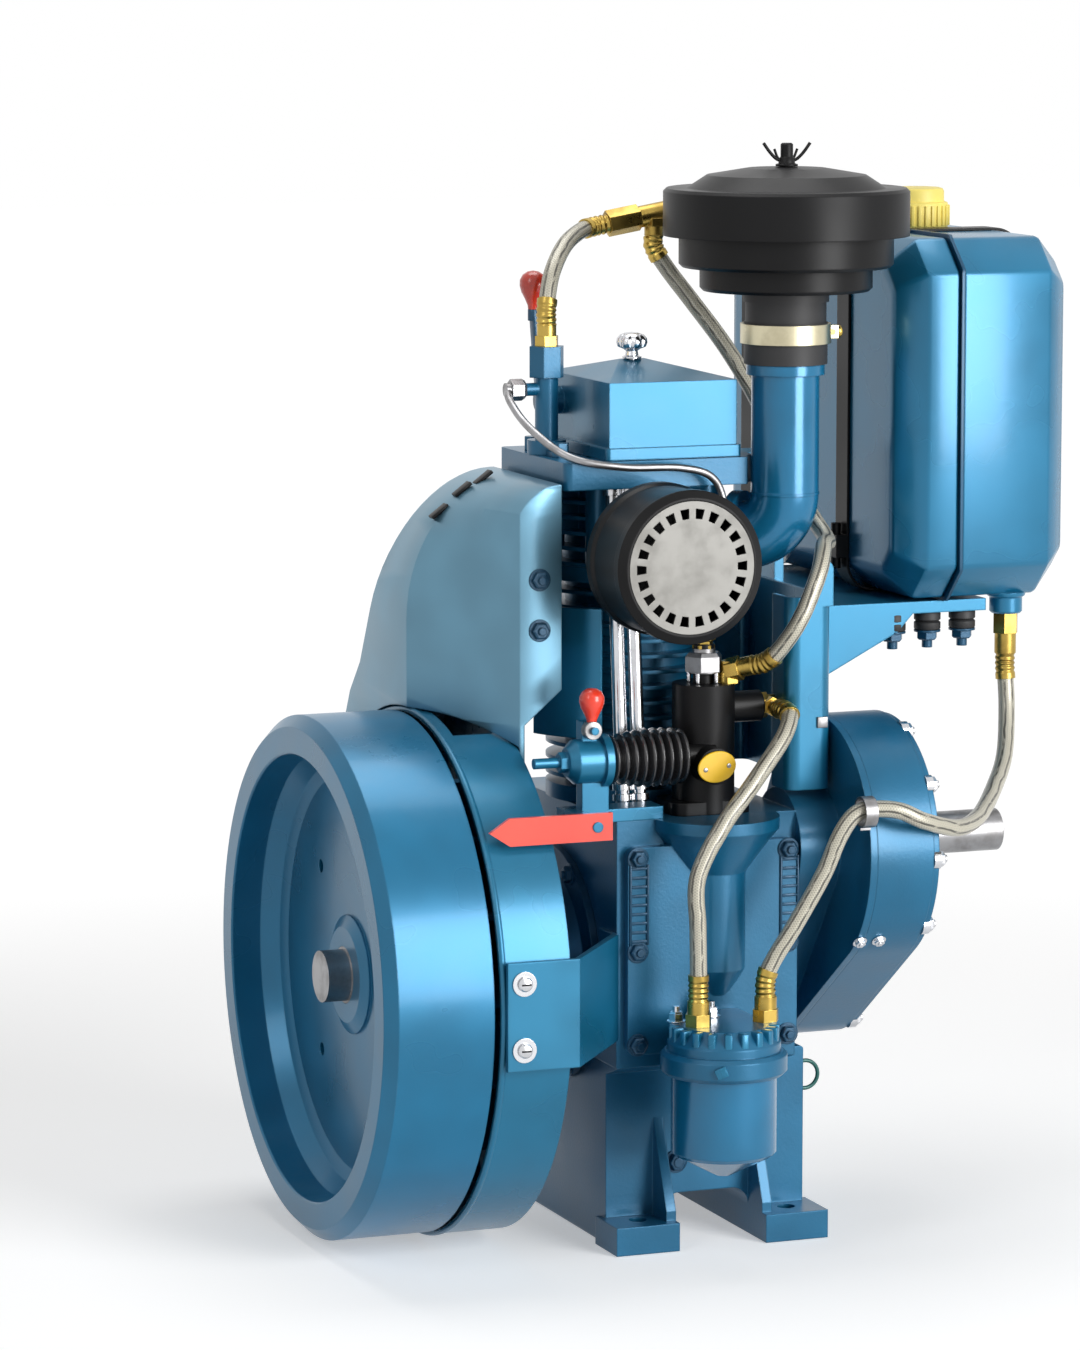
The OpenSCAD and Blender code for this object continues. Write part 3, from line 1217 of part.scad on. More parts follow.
module hose_fittings() color([0.80, 0.64, 0.28]) {
    for (x = [filter_out_x, filter_in_x])
        fitting([x, -filter_y, filter_z + filter_head_h], [x, -filter_y, filter_hose_z], fitting_r);
    fitting([inlet_boss_x, -pump_y, inlet_boss_z], [inlet_boss_x + fitting_r + 4 * overrun, -pump_y, inlet_boss_z],
        delivery_r);
    pump_end = pump_route[len(pump_route) - 1];
    fitting([pump_end[0], -pump_y, inlet_boss_z], pump_end, hose_r - overrun);
    leak = [pump_x + leak_off, -pump_y - leak_off / 2, pump_top];
    fitting(leak, leak + [0, 0, 2 * fitting_r], hose_r);
    fitting(leak + [0, 0, fitting_r + overrun], return_route[len(return_route) - 1], fitting_r - overrun);
    fitting([inj_x, inj_y, inj_top], overflow_route[0], fitting_r - overrun);
    fitting(overflow_route[len(overflow_route) - 1], tank_route[0], fitting_r);
    fitting(tee_drop, return_route[0], fitting_r - overrun);
    fitting([outlet_x, outlet_y, tank_tap_z], supply_route[0], fitting_r);
    fitting([tank_x0, tank_tap_y, tank_route[len(tank_route) - 1][2]], tank_route[len(tank_route) - 1], fitting_r - overrun);
}

clip_at_hose = [86, -202, 346];
clip_t = 1.5;

module hose_clip() color([0.40, 0.42, 0.44]) {
    difference() {
        translate([clip_at_hose[0] - screw_r, clip_at_hose[1], clip_at_hose[2] - overrun])
            rotate([0, 90, 0]) cylinder(h = 2 * screw_r, r = hose_r + 4 * overrun + clip_t);
        translate([clip_at_hose[0] - 2 * screw_r, clip_at_hose[1], clip_at_hose[2] - overrun])
            rotate([0, 90, 0]) cylinder(h = 4 * screw_r, r = hose_r + 4 * overrun);
    }
    box(clip_at_hose[0], cover_x - flange_t - seat_gap, clip_at_hose[1] + hose_r + 4 * overrun, -chest_y - hose_r * 10,
        clip_at_hose[2] - 2 * fitting_r, clip_at_hose[2]);
}

// Fuel tank: rounded body with a seam, filler neck and outlet
tank_t = 2;
seam_x = 216;
seam_h = 3;
neck_x = 246;
neck_y = 64;
filler_r = 22;
filler_h = 12;
outlet_x = 274;
outlet_y = -50;
outlet_r = 13;

module tank_solid(grow) intersection() {
    pushed_y(tank_y0 - grow, tank_y1 + grow) round_rect(tank_x0 - grow, tank_x1 + grow,
        tank_z0 - grow, tank_z1 + grow, tank_edge + grow);
    translate([0, 0, tank_z0 - grow]) linear_extrude(tank_z1 - tank_z0 + 2 * grow)
        round_rect(tank_x0 - grow, tank_x1 + grow, tank_y0 - grow, tank_y1 + grow, tank_edge + grow);
}

module fuel_tank() color([0.15, 0.45, 0.62]) difference() {
    union() {
        tank_solid(0);
        intersection() {
            tank_solid(seam_h);
            difference() {
                box(seam_x - tank_t, seam_x, tank_y0 - seam_h, tank_y1 + seam_h, tank_z0, tank_z1 + seam_h);
                for (y = strap_y) box(seam_x - 2 * tank_t, seam_x + tank_t, y - strap_w / 2 - overrun,
                    y + strap_w / 2 + overrun, tank_z0, tank_z1 + 2 * seam_h);
            }
        }
        translate([neck_x, neck_y, 0]) rod_z(tank_z1 - tank_t, tank_z1 + filler_h, filler_r);
        translate([outlet_x, outlet_y, 0]) rod_z(tank_tap_z, tank_z0 + tank_t, outlet_r);
    }
    tank_solid(-tank_t);
    translate([neck_x, neck_y, 0]) rod_z(tank_z1 - 2 * tank_t, tank_z1 + filler_h + overrun, filler_r - tank_t);
    translate([outlet_x, outlet_y, 0]) rod_z(tank_tap_z + tank_t, tank_z0 + 2 * tank_t, hose_r);
}

cap_r = 27;
cap_top = 800;
cap_wall = 3;

module filler_cap() color([0.80, 0.74, 0.30]) translate([neck_x, neck_y, 0]) difference() {
    union() {
        rod_z(tank_z1 + seat_gap, cap_top - cap_wall, cap_r);
        rod_z(cap_top - 2 * cap_wall, cap_top, cap_r - cap_wall);
    }
    rod_z(tank_z1, tank_z1 + filler_h + seat_gap, filler_r + run_clear);
    rod_z(tank_z1, cap_top - cap_wall, filler_r - tank_t);
}

// Tank straps and bracket
strap_y = [24, 216];
strap_w = 22;
strap_t = 2;
tension_w = 9;
tension_z = 520;
shelf_x1 = 252;
shelf_z0 = 474;
shelf_z1 = tank_z0 - strap_t - 2 * seat_gap;
post_x0 = 102;
post_x1 = 110;
post_z0 = 422;
arm_y0 = 12;
arm_y1 = 44;
arm_t = 14;
tank_gusset_x = 176;
tank_gusset_y = [-60, 190];

module tank_straps() color([0.10, 0.12, 0.14]) for (y = strap_y) {
    difference() {
        pushed_y(y - strap_w / 2, y + strap_w / 2) round_rect(tank_x0 - strap_t - seat_gap,
            tank_x1 + strap_t + seat_gap, tank_z0 - strap_t - seat_gap, tank_z1 + strap_t + seat_gap,
            tank_edge + strap_t);
        pushed_y(y - strap_w, y + strap_w) round_rect(tank_x0 - seat_gap, tank_x1 + seat_gap,
            tank_z0 - seat_gap, tank_z1 + seat_gap, tank_edge);
    }
    // Tension bolt at the foot of the strap
    box(tank_x0 - strap_t - seat_gap - tension_w, tank_x0 - strap_t / 2 - seat_gap, y - strap_w / 2,
        y + strap_w / 2, tension_z - tension_w, tension_z + tension_w);
    translate([tank_x0 - strap_t - seat_gap - tension_w / 2, y, 0])
        rod_z(tension_z - 2 * tension_w, tension_z + 2 * tension_w, stem_r);
}

module tank_bracket() color([0.10, 0.36, 0.52]) {
    box(post_x0, shelf_x1, tank_gusset_y[0], tank_gusset_y[1] + gusset_t, shelf_z0, shelf_z1);
    box(post_x0, post_x1, tank_gusset_y[0], arm_y1, post_z0, shelf_z0 + overrun);
    for (y = tank_gusset_y) pushed_y(y, y + gusset_t) polygon([[post_x0, shelf_z0 + overrun],
        [post_x0, y < 0 ? post_z0 : shelf_z0 - arm_t], [tank_gusset_x, shelf_z0 - arm_t],
        [tank_gusset_x + arm_t, shelf_z0 + overrun]]);
    box(post_x0, post_x1, arm_y0, arm_y1, shelf_z0, head_deck_z + arm_t);
    box(deck_x1, post_x1, arm_y0, arm_y1, head_deck_z, head_deck_z + arm_t);
}

// Dipstick with its wire loop
dip_tilt = 60;
dip_reach = 80;
dip_out = 13;
dip_loop_r = 11;
dip_wire_r = 1.6;

module dipstick() color([0.05, 0.30, 0.28]) translate([dip_x, dip_y, dip_z]) rotate([0, dip_tilt, 0]) {
    rod_z(-dip_reach, dip_out, dip_r);
    translate([0, 0, dip_out + dip_loop_r]) rotate([90, 0, 0]) rotate_extrude()
        translate([dip_loop_r, 0]) circle(dip_wire_r);
}

// Crankshaft: two halves, the pin cut where the rod runs, with the timing gear shrunk on
web_gap = 44;
web_r = 33;
weight_r = 74;
seat_x = -262;
tail_x = -281;
tail_r = 20;
gear_shaft_r = 18;

module gear(teeth) pushed_x(gear_x, gear_x + gear_w) polygon(gear_points(teeth));

module crank_web(x) pushed_x(x, x + web_t) {
    belt_outline([0, 0], web_r, [0, -crank_r], crankpin_r + sheet_t);
    intersection() {
        circle(weight_r);
        translate([-weight_r, 0]) square([2 * weight_r, weight_r]);
    }
}

module crankshaft() color([0.45, 0.47, 0.50]) translate([0, 0, crank_z]) {
    half_gap = web_gap / 2;
    half_rod = big_end_w / 2 + seat_gap;
    crank_web(cyl_x - half_gap - web_t);
    crank_web(cyl_x + half_gap);
    translate([0, 0, -crank_r]) {
        rod_x(cyl_x - half_gap, cyl_x - half_rod, crankpin_r);
        rod_x(cyl_x + half_rod, cyl_x + half_gap, crankpin_r);
    }
    rod_x(nose_x, cyl_x - half_gap - web_t, left_journal_r);
    rod_x(seat_x, nose_x, shaft_r);
    rod_x(tail_x, seat_x, tail_r);
    rod_x(cyl_x + half_gap + web_t, case_right + overrun, journal_r);
    rod_x(case_right, gear_x + gear_w + overrun, gear_shaft_r);
    rotate([cam_angle, 0, 0]) gear(crank_teeth);
}

// Flywheel with its dish, web holes and fan blades
fly_bevel = 9;
hub_r = 46;
hub_x1 = -168;
rim_back_r = 176;
web_hole_r = 5.25;
web_hole_circle = 103;
web_holes = 4;
blade_r0 = 92;
blade_r1 = 171;
blade_t = 4;
blade_lean = 28;
blade_share = 1.03;
// The blades stand clear of the holes in the web
blade_turn_share = 0.375;
web_x0 = fly_x0 + dish_depth;
web_x1 = web_x0 + fly_web_t;

module flywheel() color([0.06, 0.40, 0.62]) translate([0, 0, crank_z]) {
    difference() {
        turned_x() polygon([[shaft_r + run_clear, seat_x], [hub_r - fly_bevel, seat_x],
            [hub_r, seat_x + fly_bevel / 2], [hub_r, web_x0], [fly_mouth_r - 2 * fly_bevel, web_x0],
            [fly_mouth_r - fly_bevel, web_x0 - fly_bevel / 2], [fly_mouth_r - overrun, web_x0 - 2 * fly_bevel],
            [fly_mouth_r, fly_x0 + overrun], [fly_mouth_r + overrun, fly_x0], [fly_r - fly_bevel, fly_x0],
            [fly_r, fly_x0 + fly_bevel], [fly_r, fly_x1], [rim_back_r, fly_x1], [rim_back_r, web_x1],
            [hub_r, web_x1], [hub_r, hub_x1], [shaft_r + run_clear, hub_x1]]);
        for (i = [0 : web_holes - 1]) rotate([360 / web_holes * (i + flat_share), 0, 0])
            translate([0, 0, web_hole_circle]) rod_x(web_x0 - overrun, web_x1 + overrun, web_hole_r);
    }
    for (i = [0 : blade_n - 1]) rotate([360 / blade_n * (i + blade_turn_share), 0, 0]) translate([0, 0, blade_r0])
        rotate([blade_lean, 0, 0]) box(web_x1 - overrun, fly_x1 + blade_h, -blade_t / 2, blade_t / 2, 0,
            (blade_r1 - blade_r0) * blade_share);
}

// Camshaft with three lobes and the starting end, and its gear
lobe_w = 11;
cam_shaft_r = 12;
cam_end_gap = 3;
start_hole_r = 9;

module camshaft() color([0.42, 0.44, 0.47]) translate([0, cam_y, cam_z]) difference() {
    union() {
        rod_x(case_left + case_wall / 3 + seat_gap, case_right - case_wall - cam_end_gap, cam_shaft_r);
        rod_x(case_right - case_wall - cam_end_gap, cover_x + cover_depth + cover_boss_h, cam_journal_r);
        rod_x(cover_x + cover_depth, start_x, start_r);
        for (p = [[tappet_x[0], 150], [tappet_x[1], 250], [pump_x, 200]])
            pushed_x(p[0] - lobe_w / 2, p[0] + lobe_w / 2)
                belt_outline([0, 0], lobe_r, (lobe_nose - lobe_r / 2) * [cos(p[1]), sin(p[1])], lobe_r / 2);
    }
    rod_x(start_x - start_room, start_x + overrun, start_hole_r);
}

module cam_gear() color([0.50, 0.50, 0.52]) translate([0, cam_y, cam_z]) difference() {
    rotate([cam_angle + 180 + 180 / cam_teeth, 0, 0]) gear(cam_teeth);
    rod_x(gear_x - overrun, gear_x + gear_w + overrun, cam_journal_r + run_clear);
    rod_x(gear_x + gear_w - case_wall / 2, gear_x + gear_w + overrun, cover_low_r);
}

// Piston with its rings, gudgeon pin and connecting rod
piston_clear = 0.06;
ring_h = 2.5;
ring_depth = 4;
ring_places = [8, 16, 24];
piston_wall = 6;
small_end_w = 28;
small_end_r = 21;
big_end_r = 34;
pin_half = 38;
shank_t = 14;
piston_r = bore_d / 2 - piston_clear;

module piston() color([0.72, 0.73, 0.75]) translate([cyl_x, 0, 0]) difference() {
    union() {
        difference() {
            rod_z(crown_z - piston_h, crown_z, piston_r);
            rod_z(crown_z - piston_h - overrun, crown_z - 2 * piston_wall, piston_r - piston_wall);
        }
        intersection() {
            rod_z(crown_z - piston_h, crown_z, piston_r - overrun);
            for (s = [0, 1]) mirror([s, 0, 0]) translate([0, 0, gudgeon_z])
                rod_x(small_end_w / 2 + overrun, piston_r, small_end_r);
        }
    }
    for (d = ring_places) difference() {
        rod_z(crown_z - d - ring_h, crown_z - d, piston_r + overrun);
        rod_z(crown_z - d - 2 * ring_h, crown_z, piston_r - ring_depth);
    }
    translate([0, 0, gudgeon_z]) rod_x(-pin_half, pin_half, gudgeon_r + run_clear);
}

module piston_rings() color([0.50, 0.50, 0.52]) translate([cyl_x, 0, 0]) for (d = ring_places)
    translate([0, 0, crown_z - d - ring_h + run_clear]) difference() {
        cylinder(h = ring_h - 2 * run_clear, r = bore_d / 2 - piston_clear / 3);
        translate([0, 0, -overrun]) cylinder(h = ring_h + 2 * overrun, r = piston_r - ring_depth + run_clear);
    }

module gudgeon_pin() color([0.66, 0.67, 0.69]) translate([cyl_x, 0, gudgeon_z])
    rod_x(-pin_half + overrun, pin_half - overrun, gudgeon_r);

module connecting_rod() color([0.48, 0.50, 0.53]) translate([cyl_x, 0, 0]) difference() {
    union() {
        translate([0, 0, gudgeon_z]) rod_x(-small_end_w / 2 + overrun, small_end_w / 2 - overrun, small_end_r);
        translate([0, 0, pin_z]) rod_x(-big_end_w / 2, big_end_w / 2, big_end_r);
        pushed_x(-shank_t / 2, shank_t / 2) polygon([[-big_end_r * 0.7, pin_z + big_end_r / 2],
            [big_end_r * 0.7, pin_z + big_end_r / 2], [small_end_r * 0.7, gudgeon_z - small_end_r / 2],
            [-small_end_r * 0.7, gudgeon_z - small_end_r / 2]]);
    }
    translate([0, 0, gudgeon_z]) rod_x(-small_end_w, small_end_w, gudgeon_r + run_clear);
    translate([0, 0, pin_z]) rod_x(-big_end_w, big_end_w, crankpin_r + run_clear);
    for (s = [-1, 1]) translate([s * shank_t / 2, 0, 0]) pushed_x(-shank_t / 5, shank_t / 5)
        polygon([[-big_end_r * 0.35, pin_z + big_end_r + shank_t / 2], [big_end_r * 0.35, pin_z + big_end_r + shank_t / 2],
            [small_end_r * 0.35, gudgeon_z - small_end_r - shank_t / 2],
            [-small_end_r * 0.35, gudgeon_z - small_end_r - shank_t / 2]]);
}

// Valves, rockers and push rods, both valves closed
rocker_arm_w = 6;
rocker_arm_h = 11;
valve_head_t = 3;

module rocker(hub, x_rod, x_valve) color([0.45, 0.47, 0.50]) difference() {
    union() {
        translate([0, rocker_y, rocker_z]) rod_x(hub[0], hub[1], rocker_hub_r);
        for (e = [[x_rod, -1], [x_valve, 1]]) {
            near = e[1] < 0 ? x_rod : hub[1] - rocker_arm_w / 2;
            translate([0, 0, rocker_z - rocker_arm_h / 2]) linear_extrude(rocker_arm_h) polygon([
                [near - rocker_arm_w / 2, rocker_y], [near + rocker_arm_w / 2, rocker_y],
                [near + rocker_arm_w / 2, rocker_y + e[1] * (rocker_hub_r + 2 * overrun)],
                [e[0] + rocker_arm_w / 2, rocker_y + e[1] * rocker_arm],
                [e[0] - rocker_arm_w / 2, rocker_y + e[1] * rocker_arm],
                [near - rocker_arm_w / 2, rocker_y + e[1] * (rocker_hub_r + 2 * overrun)]]);
            translate([0, rocker_y + e[1] * rocker_arm, rocker_z])
                rod_x(e[0] - rocker_arm_w / 2, e[0] + rocker_arm_w / 2, rocker_nose_r);
        }
    }
    translate([0, rocker_y, rocker_z]) rod_x(hub[0] - overrun, hub[1] + overrun, rocker_shaft_r + run_clear);
}

module exhaust_rocker() rocker(rocker_x[0], tappet_x[0], exhaust_valve_x);
module inlet_rocker() rocker(rocker_x[1], tappet_x[1], inlet_valve_x);

module valve(x) color([0.58, 0.58, 0.60]) translate([x, 0, 0]) {
    rod_z(head_z + overrun - seat_gap, head_z + overrun - seat_gap + valve_head_t, valve_r);
    rod_z(head_z + overrun, rocker_z - rocker_nose_r - seat_gap, stem_r);
}
module inlet_valve() valve(inlet_valve_x);
module exhaust_valve() valve(exhaust_valve_x);

module pushrod(x) color([0.58, 0.60, 0.62]) along_pushrod(x) {
    rod_z(lobe_nose + seat_gap, lobe_nose + seat_gap + tappet_h, tappet_hole_r - run_clear);
    rod_z(lobe_nose + seat_gap, (rod_top_z - 2 * seat_gap - cam_z) / cos(tube_tilt), stem_r - overrun);
}
module inlet_pushrod() pushrod(tappet_x[1]);
module exhaust_pushrod() pushrod(tappet_x[0]);

// Knob of the rocker cover and wing nut of the air cleaner
knob_z_gap = 8;
knob_foot_r = 7;
knob_top_r = 13;
knob_h = 21;
wing_n_r = 8;
wing_h = 12;
wing_w = 20;
wing_lean = 38;

module cover_knob() color([0.80, 0.80, 0.82]) translate([ridge_x, lid_mid_y, lid_z2 + seat_gap]) difference() {
    rotate_extrude() polygon([[0, 0], [knob_foot_r, 0], [knob_foot_r - overrun, knob_h / 4],
        [knob_top_r - overrun, knob_h * 0.7], [knob_top_r, knob_h * 0.85], [knob_top_r - 2 * overrun, knob_h],
        [0, knob_h]]);
    rod_z(-overrun, knob_z_gap + 5 * overrun, knob_hole_r - seat_gap + run_clear);
}

module wing_nut() color([0.10, 0.10, 0.11]) translate([air_x, -air_y, dome_z + seat_gap]) difference() {
    union() {
        cylinder(h = wing_h - overrun, r = wing_n_r);
        for (s = [0, 180]) rotate([0, 0, s]) translate([wing_n_r / 2, 0, 0]) rotate([0, wing_lean, 0])
            box(-overrun, overrun, -wing_n_r / 2, wing_n_r / 2, overrun, wing_w + 2 * overrun);
    }
    rod_z(-overrun, wing_w, air_stud_r + run_clear);
}

crankcase();
crankcase_door();
timing_cover();
bearing_housing();
main_bushes();
cylinder_barrel();
cylinder_head();
head_studs();
rocker_cover();
rocker_bracket();
pushrod_tubes();
fan_cowl();
cowl_duct();
air_baffles();
cowl_bracket();
case_fasteners();
inlet_elbow();
neck_hose();
hose_clamp();
air_cleaner_bowl();
air_cleaner_cover();
silencer_body();
silencer_face();
injector();
injector_pipe();
pump_body();
governor_bellows();
governor_housing();
filter_head();
filter_bowl();
pump_hose();
supply_hose();
overflow_hose();
return_hose();
hose_fittings();
hose_clip();
fuel_tank();
tank_straps();
tank_bracket();
dipstick();
crankshaft();
flywheel();
camshaft();
cam_gear();
piston();
piston_rings();
gudgeon_pin();
connecting_rod();
decompression_lever();
speed_lever();
stop_lever();
filler_cap();
wing_nut();
cover_knob();
inlet_rocker();
exhaust_rocker();
inlet_valve();
exhaust_valve();
inlet_pushrod();
exhaust_pushrod();
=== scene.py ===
import json
import math

import bmesh
import bpy
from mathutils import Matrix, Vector


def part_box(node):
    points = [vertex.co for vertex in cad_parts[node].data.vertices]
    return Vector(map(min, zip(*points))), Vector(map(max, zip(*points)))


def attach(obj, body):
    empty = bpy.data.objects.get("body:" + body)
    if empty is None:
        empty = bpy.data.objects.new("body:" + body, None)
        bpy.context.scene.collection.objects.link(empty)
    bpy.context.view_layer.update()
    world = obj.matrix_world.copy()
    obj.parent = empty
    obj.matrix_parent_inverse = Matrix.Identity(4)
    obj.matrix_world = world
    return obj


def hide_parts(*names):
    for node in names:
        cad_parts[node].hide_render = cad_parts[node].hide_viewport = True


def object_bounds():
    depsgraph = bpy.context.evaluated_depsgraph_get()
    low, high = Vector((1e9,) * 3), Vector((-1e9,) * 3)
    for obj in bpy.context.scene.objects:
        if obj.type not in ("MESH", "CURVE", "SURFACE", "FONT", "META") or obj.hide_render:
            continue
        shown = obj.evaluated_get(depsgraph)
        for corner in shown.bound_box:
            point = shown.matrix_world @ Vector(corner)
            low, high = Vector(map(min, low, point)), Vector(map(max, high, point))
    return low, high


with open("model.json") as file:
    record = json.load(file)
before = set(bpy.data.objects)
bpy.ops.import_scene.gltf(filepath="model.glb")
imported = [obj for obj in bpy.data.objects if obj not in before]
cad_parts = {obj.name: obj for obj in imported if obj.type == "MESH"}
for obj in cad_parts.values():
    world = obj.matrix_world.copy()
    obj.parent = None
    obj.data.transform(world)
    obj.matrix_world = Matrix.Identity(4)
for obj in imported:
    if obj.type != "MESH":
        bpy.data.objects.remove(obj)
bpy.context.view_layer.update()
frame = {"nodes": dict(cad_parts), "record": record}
cadNodes = frame["nodes"]
mm = 0.001
crankZ = 207.4  # height of the crankshaft over the foot face


def addObject(name, data):
    thing = bpy.data.objects.new(name, data)
    bpy.context.scene.collection.objects.link(thing)
    return thing


def shadeSmooth(piece, angle):
    piece.data.shade_smooth()
    piece.data.set_sharp_from_angle(angle=math.radians(angle))


# Camera
cameraView = {"place": (-1.6145, -3.9446, 1.0261), "pitch": 8.0, "yaw": 21.0, "lens": 146.93}


def makeCamera():
    data = bpy.data.cameras.new("enginePhotoCamera")
    data.sensor_width = 36
    data.lens = cameraView["lens"]
    data.clip_end = 60
    camera = addObject("enginePhotoCamera", data)
    camera.location = cameraView["place"]
    camera.rotation_euler = (math.radians(90 - cameraView["pitch"]), 0, -math.radians(cameraView["yaw"]))
    bpy.context.scene.camera = camera


makeCamera()


# Small mesh helpers
def toMetres(points):
    return [Vector(p) * mm for p in points]


def smoothPath(points, steps=6):
    # Catmull-Rom curve through the points
    ends = [points[0] * 2 - points[1]] + list(points) + [points[-1] * 2 - points[-2]]
    path = []
    for i in range(1, len(ends) - 2):
        a, b, c, d = ends[i - 1], ends[i], ends[i + 1], ends[i + 2]
        for k in range(steps):
            t = k / steps
            path.append(0.5 * (2 * b + (c - a) * t + (2 * a - 5 * b + 4 * c - d) * t * t
                               + (3 * b - a - 3 * c + d) * t * t * t))
    path.append(points[-1].copy())
    return path


def pathLength(path):
    return sum((b - a).length for a, b in zip(path, path[1:]))


def pathFrames(path):
    # Frames carried along the path without twist
    last = len(path) - 1
    tangents = [(path[min(i + 1, last)] - path[max(i - 1, 0)]).normalized() for i in range(len(path))]
    side = tangents[0].orthogonal().normalized()
    frames = []
    for i, tangent in enumerate(tangents):
        if i:
            side = tangents[i - 1].rotation_difference(tangent) @ side
            side = (side - tangent * side.dot(tangent)).normalized()
        frames.append((side.copy(), tangent.cross(side)))
    return frames


def objectFrom(name, bm, material, angle=35):
    bmesh.ops.remove_doubles(bm, verts=bm.verts, dist=1e-6)
    bmesh.ops.recalc_face_normals(bm, faces=bm.faces)
    mesh = bpy.data.meshes.new(name)
    bm.to_mesh(mesh)
    bm.free()
    mesh.materials.append(material)
    piece = addObject(name, mesh)
    shadeSmooth(piece, angle)
    return piece


def addTube(bm, path, radius, sides=20, radiusAt=None, uvName=None):
    # A tube along a path, closed at both ends; radiusAt gives a radius from the way along it
    uvLayer = bm.loops.layers.uv.get(uvName) or bm.loops.layers.uv.new(uvName) if uvName else None
    frames = pathFrames(path)
    lengths = [0.0]
    for a, b in zip(path, path[1:]):
        lengths.append(lengths[-1] + (b - a).length)
    rings = []
    for point, (u, v), way in zip(path, frames, lengths):
        r = radiusAt(way) if radiusAt else radius
        turns = [k * 2 * math.pi / sides for k in range(sides)]
        rings.append([bm.verts.new(point + r * (u * math.cos(turn) + v * math.sin(turn))) for turn in turns])
    for i in range(len(rings) - 1):
        for k in range(sides):
            n = (k + 1) % sides
            face = bm.faces.new((rings[i][k], rings[i][n], rings[i + 1][n], rings[i + 1][k]))
            if uvLayer:
                around = [k / sides, (k + 1) / sides, (k + 1) / sides, k / sides]
                along = [lengths[i], lengths[i], lengths[i + 1], lengths[i + 1]]
                for loop, x, y in zip(face.loops, around, along):
                    loop[uvLayer].uv = (x, y / 0.1)
    bm.faces.new(list(reversed(rings[0])))
    bm.faces.new(rings[-1])


def joinRings(bm, rings):
    # Faces between neighbouring rings of equal count; a ring of one point closes as a fan
    for a, b in zip(rings, rings[1:]):
        count = max(len(a), len(b))
        if count == 1:
            continue
        for k in range(count):
            n = (k + 1) % count
            if len(a) == 1:
                bm.faces.new((a[0], b[n], b[k]))
            elif len(b) == 1:
                bm.faces.new((a[k], a[n], b[0]))
            else:
                bm.faces.new((a[k], a[n], b[n], b[k]))


def addSpin(bm, profile, origin, axis, sides=48, start=None):
    # Turns a profile of (radius, way along the axis) pairs about the axis, in millimetres
    axis = Vector(axis).normalized()
    origin = Vector(origin)
    u = Vector(start).normalized() if start else axis.orthogonal().normalized()
    v = axis.cross(u)
    rings = []
    for r, h in profile:
        centre = (origin + axis * h) * mm
        if r < 1e-6:
            rings.append([bm.verts.new(centre)])
        else:
            rings.append([bm.verts.new(centre + r * mm * (u * math.cos(k * 2 * math.pi / sides)
                                                           + v * math.sin(k * 2 * math.pi / sides)))
                          for k in range(sides)])
    joinRings(bm, rings)


def addRod(bm, radius, origin, axis, length, sides=20):
    addSpin(bm, [(0, 0), (radius, 0), (radius, length), (0, length)], origin, axis, sides)


def addPlate(bm, outline, place, thickness):
    # A flat plate: outline points are turned to space by place(x, y, depth), all in millimetres
    low = [bm.verts.new(place(x, y, 0) * mm) for x, y in outline]
    high = [bm.verts.new(place(x, y, thickness) * mm) for x, y in outline]
    bm.faces.new(list(reversed(low)))
    bm.faces.new(high)
    for k in range(len(outline)):
        n = (k + 1) % len(outline)
        bm.faces.new((low[k], low[n], high[n], high[k]))


def bevelPiece(piece, width, segments=2, angle=30):
    modifier = piece.modifiers.new("softEdges", "BEVEL")
    modifier.width = width * mm
    modifier.segments = segments
    modifier.limit_method = "ANGLE"
    modifier.angle_limit = math.radians(angle)
    modifier.harden_normals = False
    settle(piece)


def settle(piece):
    # Turns the modifiers' result into the piece's own mesh
    bpy.context.view_layer.update()
    graph = bpy.context.evaluated_depsgraph_get()
    mesh = bpy.data.meshes.new_from_object(piece.evaluated_get(graph))
    piece.modifiers.clear()
    piece.data = mesh


# Node helpers
def feed(tree, node, inputs):
    # Each input takes a value, or a link from another node's socket
    for label, value in inputs.items():
        socket = node.inputs[label]
        if isinstance(value, bpy.types.NodeSocket):
            tree.links.new(value, socket)
        else:
            socket.default_value = (*value, 1.0) if socket.type == "RGBA" else value


def addNode(tree, kind, inputs=None, **settings):
    node = tree.nodes.new(kind)
    for label, value in settings.items():
        setattr(node, label, value)
    feed(tree, node, inputs or {})
    return node


def makeGroup(name, inputs, outputs, kind="ShaderNodeTree"):
    tree = bpy.data.node_groups.new(name, kind)
    for label, socketKind, value in inputs:
        socket = tree.interface.new_socket(label, in_out="INPUT", socket_type=socketKind)
        if value is not None:
            socket.default_value = value
    for label, socketKind in outputs:
        tree.interface.new_socket(label, in_out="OUTPUT", socket_type=socketKind)
    return tree, tree.nodes.new("NodeGroupInput").outputs, tree.nodes.new("NodeGroupOutput")


def mathNode(tree, operation, a, b=None, clamp=False):
    inputs = {0: a} if b is None else {0: a, 1: b}
    return addNode(tree, "ShaderNodeMath", inputs, operation=operation, use_clamp=clamp).outputs[0]


def rangeNode(tree, value, low, high, toLow=0.0, toHigh=1.0):
    inputs = {"Value": value, "From Min": low, "From Max": high, "To Min": toLow, "To Max": toHigh}
    return addNode(tree, "ShaderNodeMapRange", inputs, interpolation_type="SMOOTHSTEP").outputs["Result"]


def noiseNode(tree, scale, detail=3.0, roughness=0.55, vector=None, stretch=None):
    if vector is None:
        vector = addNode(tree, "ShaderNodeTexCoord").outputs["Object"]
    if stretch:
        vector = addNode(tree, "ShaderNodeMapping", {"Vector": vector, "Scale": stretch}).outputs["Vector"]
    inputs = {"Vector": vector, "Scale": scale, "Detail": detail, "Roughness": roughness}
    return addNode(tree, "ShaderNodeTexNoise", inputs).outputs["Fac"]


